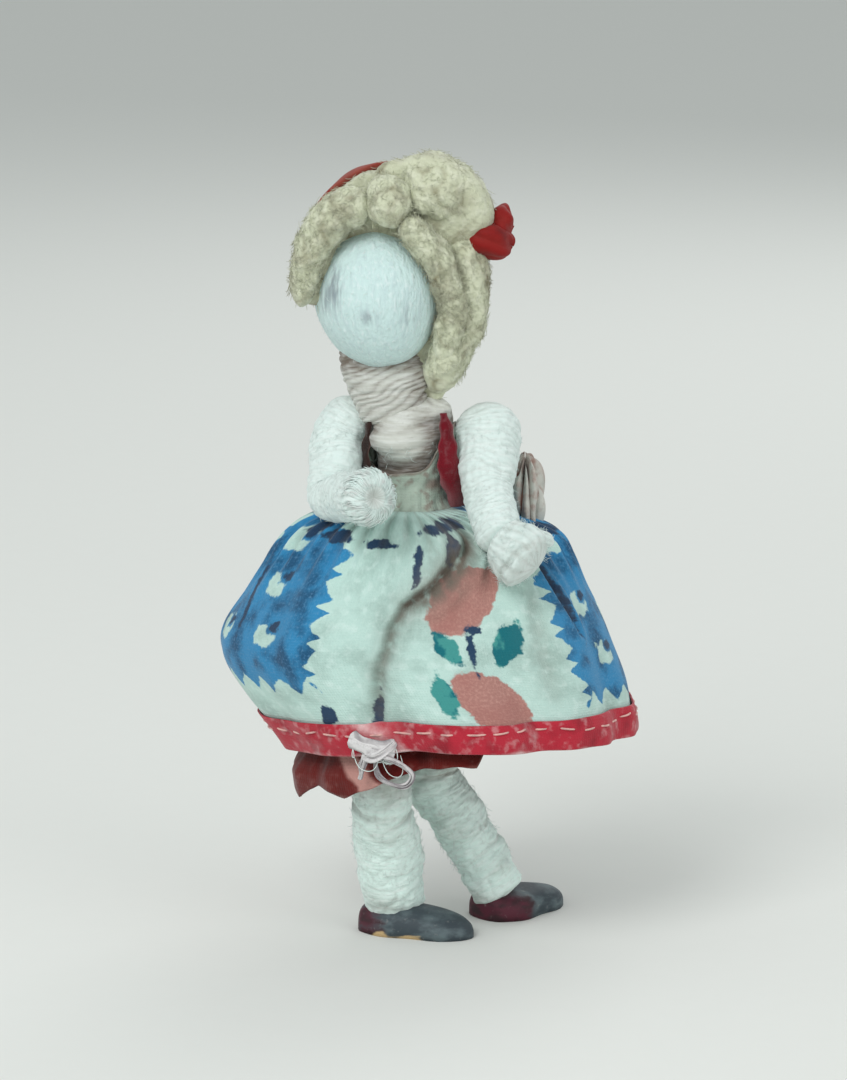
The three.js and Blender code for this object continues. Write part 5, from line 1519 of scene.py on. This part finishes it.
class DOLL_OT_skirt(bpy.types.Operator):
    """Sews the printed skirt, gathered at the waist"""
    bl_idname = "doll.skirt"
    bl_label = "Skirt"

    def execute(self, context):
        """A closed shell: down the outside from the waist to the hem and back up the inside."""
        share, out = shell_rows((150, 30), (0.995, 0.004), (0.0, -sizes().cloth))
        grid, around = np.broadcast_arrays(share, headings(420))
        rings = skirt_point(grid, around, cloth_relief(grid, around) + out)
        plain = skirt_point(grid, around, np.zeros_like(grid))
        spread = np.linalg.norm(np.roll(plain, -1, axis=1) - np.roll(plain, 1, axis=1), axis=-1)
        marks = print_marks(grid, around, spread / (2 * (around[0, 1] - around[0, 0])))
        marks["lay"] = mirrored_lay(around, grid, 20.0)
        # Painted shade: a patch in front, the valleys of the gathers at the waist and along the pressed
        # creases
        painted_shade_and_mottle = 0.3 * np.exp(-((grid - 0.2) / 0.12) ** 2 - ((around + 80) / 10) ** 2)
        painted_shade_and_mottle = painted_shade_and_mottle + 0.3 * smoothstep(-gathers(grid, around), 0.2, 1.0) * (1 - smoothstep(grid, 0.03, 0.2))
        for place, _, width, dark in crease_gaps(grid, around):
            painted_shade = 0.8 * bell(place.gap, 1.1 * width)
            painted_shade = painted_shade + 0.4 * bell(place.gap, 3.2 * width)
            painted_shade_and_mottle = painted_shade_and_mottle + dark * painted_shade * place.fade
        marks["painted_shade_and_mottle"] = np.clip(painted_shade_and_mottle, 0, 1)
        fit(loft("skirt_cloth", rings, marks, looped=True),
            skirt_print, "torso", ("skirt",))
        return {"FINISHED"}


class DOLL_OT_hem(bpy.types.Operator):
    """Binds the hem with red tape, sews it with running stitches and leaves loose threads in front"""
    bl_idname = "doll.hem"
    bl_label = "Hem"

    def execute(self, context):
        self.tape()
        self.stitches()
        self.fray()
        self.loose_threads()
        return {"FINISHED"}

    def tape(self):
        """A shell outside the skirt round its foot, its edges rounded and a little wavy."""
        share = np.concatenate([np.linspace(TAPE_TOP, TAPE_FOOT, 26), np.linspace(TAPE_FOOT, TAPE_TOP, 12)])
        bulge = np.sqrt(np.sin(np.linspace(0.08, math.pi - 0.08, 26)))
        out = np.concatenate([0.3 + sizes().tape_cloth * bulge, np.full(12, 0.22)])
        grid, around = np.broadcast_arrays(share[:, None], headings(480))
        angle = np.radians(around)
        wave = 0.006 * ripple(angle, 3 * grid, 111, tight=9)
        relief = cloth_relief(grid, around) + 0.06 * ripple(angle, 40 * grid, 112, tight=40)
        rings = skirt_point(grid + wave, around, relief + out[:, None])
        worn = 0.45 * bell(around + 114, 9) + 0.18 * smoothstep(grid, 0.99, 1.01)
        worn = worn + 0.12 * ripple(angle, 30 * grid, 119, tight=30)
        marks = dict(worn=worn, lay=mirrored_lay(around, grid, 20.0))
        fit(loft("hem_binding", rings, marks, looped=True), tape_red, "torso", ("hem_tape",))

    def stitches(self):
        """Short arched threads along the tape, a pitch apart, their ends sunk into it."""
        heading = np.linspace(-270, 90, 3000)
        measured = np.full(heading.shape, 0.925)
        line = skirt_point(measured, heading, cloth_relief(measured, heading))
        along = lengths_along(line)
        count = int(along[-1] / sizes().stitch_pitch)
        pitch = along[-1] / count
        draw = np.random.default_rng(113)
        start = (np.arange(count) * pitch)[:, None]
        share = np.linspace(0, 1, 9)[None, :]
        spot = start + share * pitch * draw.uniform(0.5, 0.78, count)[:, None]
        around = np.interp(spot, along, heading)
        level = STITCH_LEVEL + 0.009 * draw.uniform(-1, 1, count)[:, None]
        level = level + 0.012 * draw.uniform(-1, 1, count)[:, None] * share
        lift = 0.52 + 0.22 * np.sin(math.pi * share)
        paths = skirt_point(level, around, cloth_relief(level, around) + lift)
        fit(loft("hem_stitches", strand_rings(paths, 0.11, 6)), stitch_thread, "torso")

    def fray(self):
        """Strips of white cloth crushed and looped at the front: flat ovals along paths on the skirt, with
        wavy edges."""
        shapes, folds = [], []
        for knots, half, grey, seed in FRAY_STRIPS:
            heading, share, lift = np.array(knots).T
            points = skirt_point(share, heading, lift)
            spine = spine_through(points, np.full(len(knots), half), 80, FRAY_AIM)
            at, turn = tube_grid(spine, 60)
            crush = ripple(turn, at, seed, tight=3, pace=1.8)
            waver = 1 + 0.18 * ripple(0 * turn, at, seed + 9, pace=2.6)
            wide = rounded_ends(spine, 0.5, 0.5)[:, None] * waver
            thin = 0.1 * np.minimum(1, wide / 0.3)
            radius = wide * thin / np.sqrt((thin * np.cos(turn)) ** 2 + (wide * np.sin(turn)) ** 2)
            rings = on_spine(spine, at, turn, radius)
            pleat = np.cos(3.2 * radius * np.cos(turn) / half + 2 * crush)
            shapes.append(rings + (0.16 * pleat)[..., None] * FRAY_AIM)
            # Painted shade in the folds, over each strip's own grey
            folds.append(grey + 0.45 * smoothstep(-pleat, -0.2, 0.9))
        rings = np.stack(shapes)
        fit(loft("hem_fray", rings, dict(worn=np.stack(folds), lay=rings)), fray_cloth, "torso")

    def loose_threads(self):
        """A few thin threads that hang at the front of the hem: arcs off the skirt, of random sag."""
        draw = np.random.default_rng(114)
        count = 9
        share = np.linspace(0, 1, 25)[None, :]
        first = draw.uniform(-124, -111, count)[:, None]
        last = first + draw.uniform(-5, 9, count)[:, None]
        around = first + (last - first) * share + 1.6 * np.sin(4 * share + first)
        sag = draw.uniform(0.03, 0.12, count)[:, None]
        level = 0.97 + draw.uniform(-0.03, 0.05, count)[:, None] + sag * np.sin(math.pi * share) ** 0.8
        lift = 1.0 + draw.uniform(0.1, 0.6, count)[:, None] * np.sin(math.pi * share)
        lift = lift + 0.15 * np.sin(9 * share)
        fit(loft("hem_loose_threads", strand_rings(skirt_point(level, around, lift), 0.05, 6)),
            fuzz_fibre, "torso")


class DOLL_OT_petticoat(bpy.types.Operator):
    """Hangs the petticoat under the skirt, its low corner at the right front"""
    bl_idname = "doll.petticoat"
    bl_label = "Petticoat"

    def execute(self, context):
        """A shell inside the skirt: down to a ragged foot and back, the foot hanging by PETTICOAT_DROP."""
        heading = headings(360)
        angle = np.radians(heading)
        drop = np.interp(heading, *np.array(PETTICOAT_DROP).T, period=360)
        foot = 1 + (drop + 0.14 * ripple(angle, 0 * angle, 121, tight=30)) / SKIRT_LENGTH
        along, sunk = shell_rows((90, 24), (0.997, 0.003), PETTICOAT_FACES)
        grid, around = np.broadcast_arrays(PETTICOAT_TOP + (foot - PETTICOAT_TOP) * along, heading)
        turn = np.radians(around)
        fold = 0.12 * np.cos(17 * turn + 1.2 * ripple(turn, 5 * grid, 122)) * smoothstep(grid, 0.5, 1.0)
        corner = bell(around + 172, 18)
        flare = (1.5 + 0.9 * corner) * smoothstep(grid, 1.0, 1.14) - np.abs(fold)
        flare = flare + 0.1 * ripple(turn, 20 * grid, 123, tight=18)
        rings = skirt_point(grid, around, sunk + flare + np.minimum(cloth_relief(grid, around), 0))
        streak = bell(around + 137 - 70 * (grid - 1), 5.0) * smoothstep(grid, 0.98, 1.06)
        edge = smoothstep(grid - foot[None, :], -0.03, 0.0)
        marks = dict(worn=0.95 * streak + 0.2 * edge, lay=mirrored_lay(around, grid, 19.0))
        piece = loft("petticoat_cloth", rings, marks, looped=True)
        fit(piece, petticoat_red, "torso", ("petticoat",))
        return {"FINISHED"}


def trunk_point(height, turn, grow):
    """The trunk's oval at a height and a turn, moved out by grow millimetres."""
    wide = hermite(TRUNK_WIDE, TRUNK_HEIGHTS, height) + grow
    deep = hermite(TRUNK_DEEP, TRUNK_HEIGHTS, height) + grow
    return np.stack([BODY_X + wide * np.cos(turn), deep * np.sin(turn), height], -1)


class DOLL_OT_bodice(bpy.types.Operator):
    """Sews the bodice, its straps and the skirt's heading behind the left arm"""
    bl_idname = "doll.bodice"
    bl_label = "Bodice"

    def execute(self, context):
        self.shell()
        for side, strap in STRAPS.items():
            self.strap(side, strap)
        self.heading()
        return {"FINISHED"}

    def shell(self):
        """A shell on the trunk up to the neckline: level behind, scooped as a cubic oval in front,
        and spread over the gathers at its foot."""
        turn = turns(240)
        x = BODY_X + 4.3 * np.cos(turn)
        inside = np.clip(1 - (np.abs(x - SCOOP_X) / SCOOP_HALF) ** 3, 0, None)
        scoop = SCOOP_RIM - SCOOP_DEPTH * np.cbrt(inside)
        top = np.where(np.sin(turn) < 0.2, np.minimum(scoop, BODICE_CORNER), BODICE_BACK)
        top = top + 0.12 * ripple(turn, 0 * turn, 131, tight=9)
        along, out = shell_rows((80, 24), (0.99, 0.01), (0.78, 0.45))
        grid, around = np.broadcast_arrays(BODICE_FOOT + (top - BODICE_FOOT) * along, turn)
        gather = np.abs(np.cos(9 * around + 1.5 * ripple(around, grid, 134, tight=4, pace=0.6)))
        wrinkle = 0.14 * ripple(around, grid, 132, tight=6, pace=1.6)
        wrinkle = wrinkle + 0.05 * ripple(around, grid, 133, tight=20, pace=5)
        wrinkle = wrinkle + 0.55 * (gather - 0.3) * (1 - smoothstep(grid, 46.8, 51.5))
        roll = 0.06 * smoothstep(grid - top, -0.5, -0.05)
        flare = 2.5 * (1 - smoothstep(grid, 46.7, 49.6)) ** 1.5
        rings = trunk_point(grid, around, np.maximum(out + wrinkle + roll, out - 0.12) + flare)
        rings[..., 2] -= 0.35 * flare * (1 - 0.4 * gather)
        # Painted shade beside the left strap's foot, along the neckline's edge in front and in the valleys of
        # the gathers
        painted_shade = 0.5 * np.exp(-((rings[..., 0] - 0.8) / 1.6) ** 2 - ((grid - 51.0) / 1.1) ** 2)
        painted_shade = painted_shade + 0.5 * smoothstep(grid - top, -0.7, -0.1) * (rings[..., 1] < 0)
        painted_shade = painted_shade + 0.3 * smoothstep(-gather, -0.35, -0.05) * (1 - smoothstep(grid, 47.2, 51.0))
        from_back = np.abs(np.angle(np.exp(1j * (around - math.pi / 2))))
        lay = flat_lay(4 * from_back, grid)
        fit(loft("bodice_shell", rings, dict(worn=painted_shade, lay=lay), looped=True),
            bodice_cloth, "torso", ("bodice",))

    def strap(self, side, strap):
        """A narrow strip up the front of the trunk, turning out at its foot, on an ellipse in plan."""
        share = np.linspace(0, 1, 70)
        section = turns(32)
        grid, around = np.broadcast_arrays(share[:, None], section[None, :])
        height = STRAP_FOOT + STRAP_RISE * grid
        flat = signed_power(np.cos(around), 0.5)
        half = hermite(STRAP_HALF, STRAP_SHARES, grid) * strap["narrow"]
        edge = 0.1 * np.sin(31 * grid) * np.sign(flat) + 0.12 * np.sin(9 * grid)
        aside = strap["sign"] * hermite(strap["aside"], STRAP_SHARES, grid) + half * flat + edge
        stand = 1.25 + 0.2 * np.sin(around) + 0.24 * np.sin(17 * grid) * np.cos(2.5 * flat)
        deep = hermite(TRUNK_DEEP, TRUNK_HEIGHTS, height) + (stand - 0.25 * np.abs(flat))
        front = -deep * np.sqrt(1 - (aside / strap["curve"]) ** 2)
        rings = np.stack([BODY_X + aside, front, height], -1)
        worn = 0.5 * np.abs(flat) ** 3 + 0.45 * smoothstep(-grid, -0.45, 0.0)
        lay = flat_lay(half * flat, height)
        piece = loft(f"{side}_strap_cloth", rings, dict(worn=worn, lay=lay))
        # The right strap takes a darker copy of the strap as painted shade in the arm's crease
        finish = strap_red if side == "left" else strap_shade
        fit(piece, finish, "torso", (f"{side}_strap",))

    def heading(self):
        """A crumpled puff of cloth: an upright oval pleated about its axis, crushed and ragged at its top."""
        polar, turn = ball_grid(100, 150, 0.02)
        drift = ripple(turn, 3 * polar, 141, tight=3)
        pleat = np.abs(np.cos(4.5 * turn + 1.3 * drift + 0.7 * polar)) ** 0.7
        crush = ripple(turn, 7 * polar, 142, tight=5)
        size = 1 + 0.34 * (pleat - 0.7) + 0.12 * crush
        rings = HEADING_PLACE + upright_ball(polar, turn) * HEADING_HALF * size[..., None]
        rings[..., 2] += 0.35 * np.cos(9 * turn + 3 * drift) * smoothstep(np.cos(polar), 0.3, 0.9)
        # Painted shade in the valleys of the pleats; brownish fray at the ragged top and where it is crushed
        # outwards
        worn = 0.6 * smoothstep(-pleat, -0.5, 0.0) + 0.35 * smoothstep(np.cos(polar), 0.55, 0.95)
        worn = worn + 0.3 * smoothstep(crush, 0.5, 1.5)
        lay = flat_lay(3 * turn, 4 * polar)
        fit(loft("side_heading", rings, dict(worn=worn, lay=lay)),
            heading_cloth, "torso", ("side_ruffle",))


class DOLL_OT_wires(bpy.types.Operator):
    """Finishes the wire frame inside the winding"""
    bl_idname = "doll.wires"
    bl_label = "Wires"

    def execute(self, context):
        steel = made(wire_steel)
        for name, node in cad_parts.items():
            if name.endswith("_wire"):
                node.data.materials.clear()
                node.data.materials.append(steel)
        return {"FINISHED"}


class DOLL_OT_stage(bpy.types.Operator):
    """Sets the floor, the soft lights and the camera"""
    bl_idname = "doll.stage"
    bl_label = "Stage"

    def execute(self, context):
        scene = context.scene
        self.floor()
        world = scene.world or bpy.data.worlds.new("studio")
        scene.world = world
        world.use_nodes = True
        backdrop = world.node_tree.nodes["Background"]
        backdrop.inputs["Color"].default_value = SKY
        backdrop.inputs["Strength"].default_value = SKY_STRENGTH
        for light in LIGHTS:
            self.light(*light)
        self.camera(scene)
        scene.view_settings.view_transform = "Standard"
        return {"FINISHED"}

    def floor(self):
        """A wide disc just under the soles, with a rounded rim, past the camera's view."""
        ring = turns(96)
        radii = np.array([1.0, FLOOR_RADIUS - 10, FLOOR_RADIUS, FLOOR_RADIUS, 1.0])[:, None]
        heights = np.array([-0.02, -0.02, -0.5, -3.0, -3.0])[:, None]
        rings = np.stack(np.broadcast_arrays(radii * np.cos(ring), radii * np.sin(ring), heights), -1)
        piece = loft("floor", rings)
        piece.data.materials.append(made(floor_paper))

    def light(self, name, place, power, size):
        """A square soft light aimed at the doll's middle."""
        lamp = bpy.data.lights.new(name, "AREA")
        lamp.energy = power
        lamp.size = size
        holder = bpy.data.objects.new(name, lamp)
        bpy.context.scene.collection.objects.link(holder)
        self.aim(holder, np.array(place), LIGHT_TARGET)

    def aim(self, holder, place, target):
        """Puts an object at a place with its -Z axis on a target and its Y axis up."""
        back = unit(place - target)
        side = unit(np.cross((0.0, 0.0, 1.0), back))
        over = np.cross(back, side)
        matrix = np.eye(4)
        matrix[:3] = np.column_stack([side, over, back, place])
        holder.matrix_world = Matrix(matrix.tolist())

    def camera(self, scene):
        """A long lens straight in front, a little above level."""
        target = CAMERA_TARGET * MM
        rise = math.radians(CAMERA_RISE)
        lens = bpy.data.cameras.new("photo_camera")
        lens.sensor_fit = "VERTICAL"
        lens.sensor_height = CAMERA_SENSOR
        lens.lens = CAMERA_LENS
        lens.clip_start = 0.01
        holder = bpy.data.objects.new("photo_camera", lens)
        scene.collection.objects.link(holder)
        self.aim(holder, target + CAMERA_DISTANCE * np.array([0, -math.cos(rise), math.sin(rise)]), target)
        scene.camera = holder


class DOLL_PT_sidebar(bpy.types.Panel):
    """Lists the doll's pieces, sizes and colours"""
    bl_idname = "DOLL_PT_sidebar"
    bl_label = "Miniature Doll"
    bl_space_type = "VIEW_3D"
    bl_region_type = "UI"
    bl_category = "Doll"

    def draw(self, context):
        for operator in OPERATORS:
            self.layout.operator(operator.bl_idname)
        for group in (context.scene.doll_sizes, context.scene.doll_colours):
            box = self.layout.box()
            for field in group.__annotations__:
                box.prop(group, field)


OPERATORS = (DOLL_OT_stage, DOLL_OT_legs, DOLL_OT_shoes, DOLL_OT_trunk, DOLL_OT_arms, DOLL_OT_head,
             DOLL_OT_hair, DOLL_OT_ribbon, DOLL_OT_bodice, DOLL_OT_skirt, DOLL_OT_hem, DOLL_OT_petticoat,
             DOLL_OT_wires)
CLASSES = (DollColours, DollSizes, *OPERATORS, DOLL_PT_sidebar)


def register():
    """Adds the classes and the scene's settings."""
    for entry in CLASSES:
        bpy.utils.register_class(entry)
    bpy.types.Scene.doll_colours = PointerProperty(type=DollColours)
    bpy.types.Scene.doll_sizes = PointerProperty(type=DollSizes)


def unregister():
    """Removes the scene's settings and the classes."""
    del bpy.types.Scene.doll_sizes
    del bpy.types.Scene.doll_colours
    for entry in reversed(CLASSES):
        bpy.utils.unregister_class(entry)


def main():
    """Makes every piece in order."""
    register()
    for operator in OPERATORS:
        getattr(bpy.ops.doll, operator.bl_idname.split(".")[1])()
    bpy.context.view_layer.update()


if __name__ == "__main__":
    main()
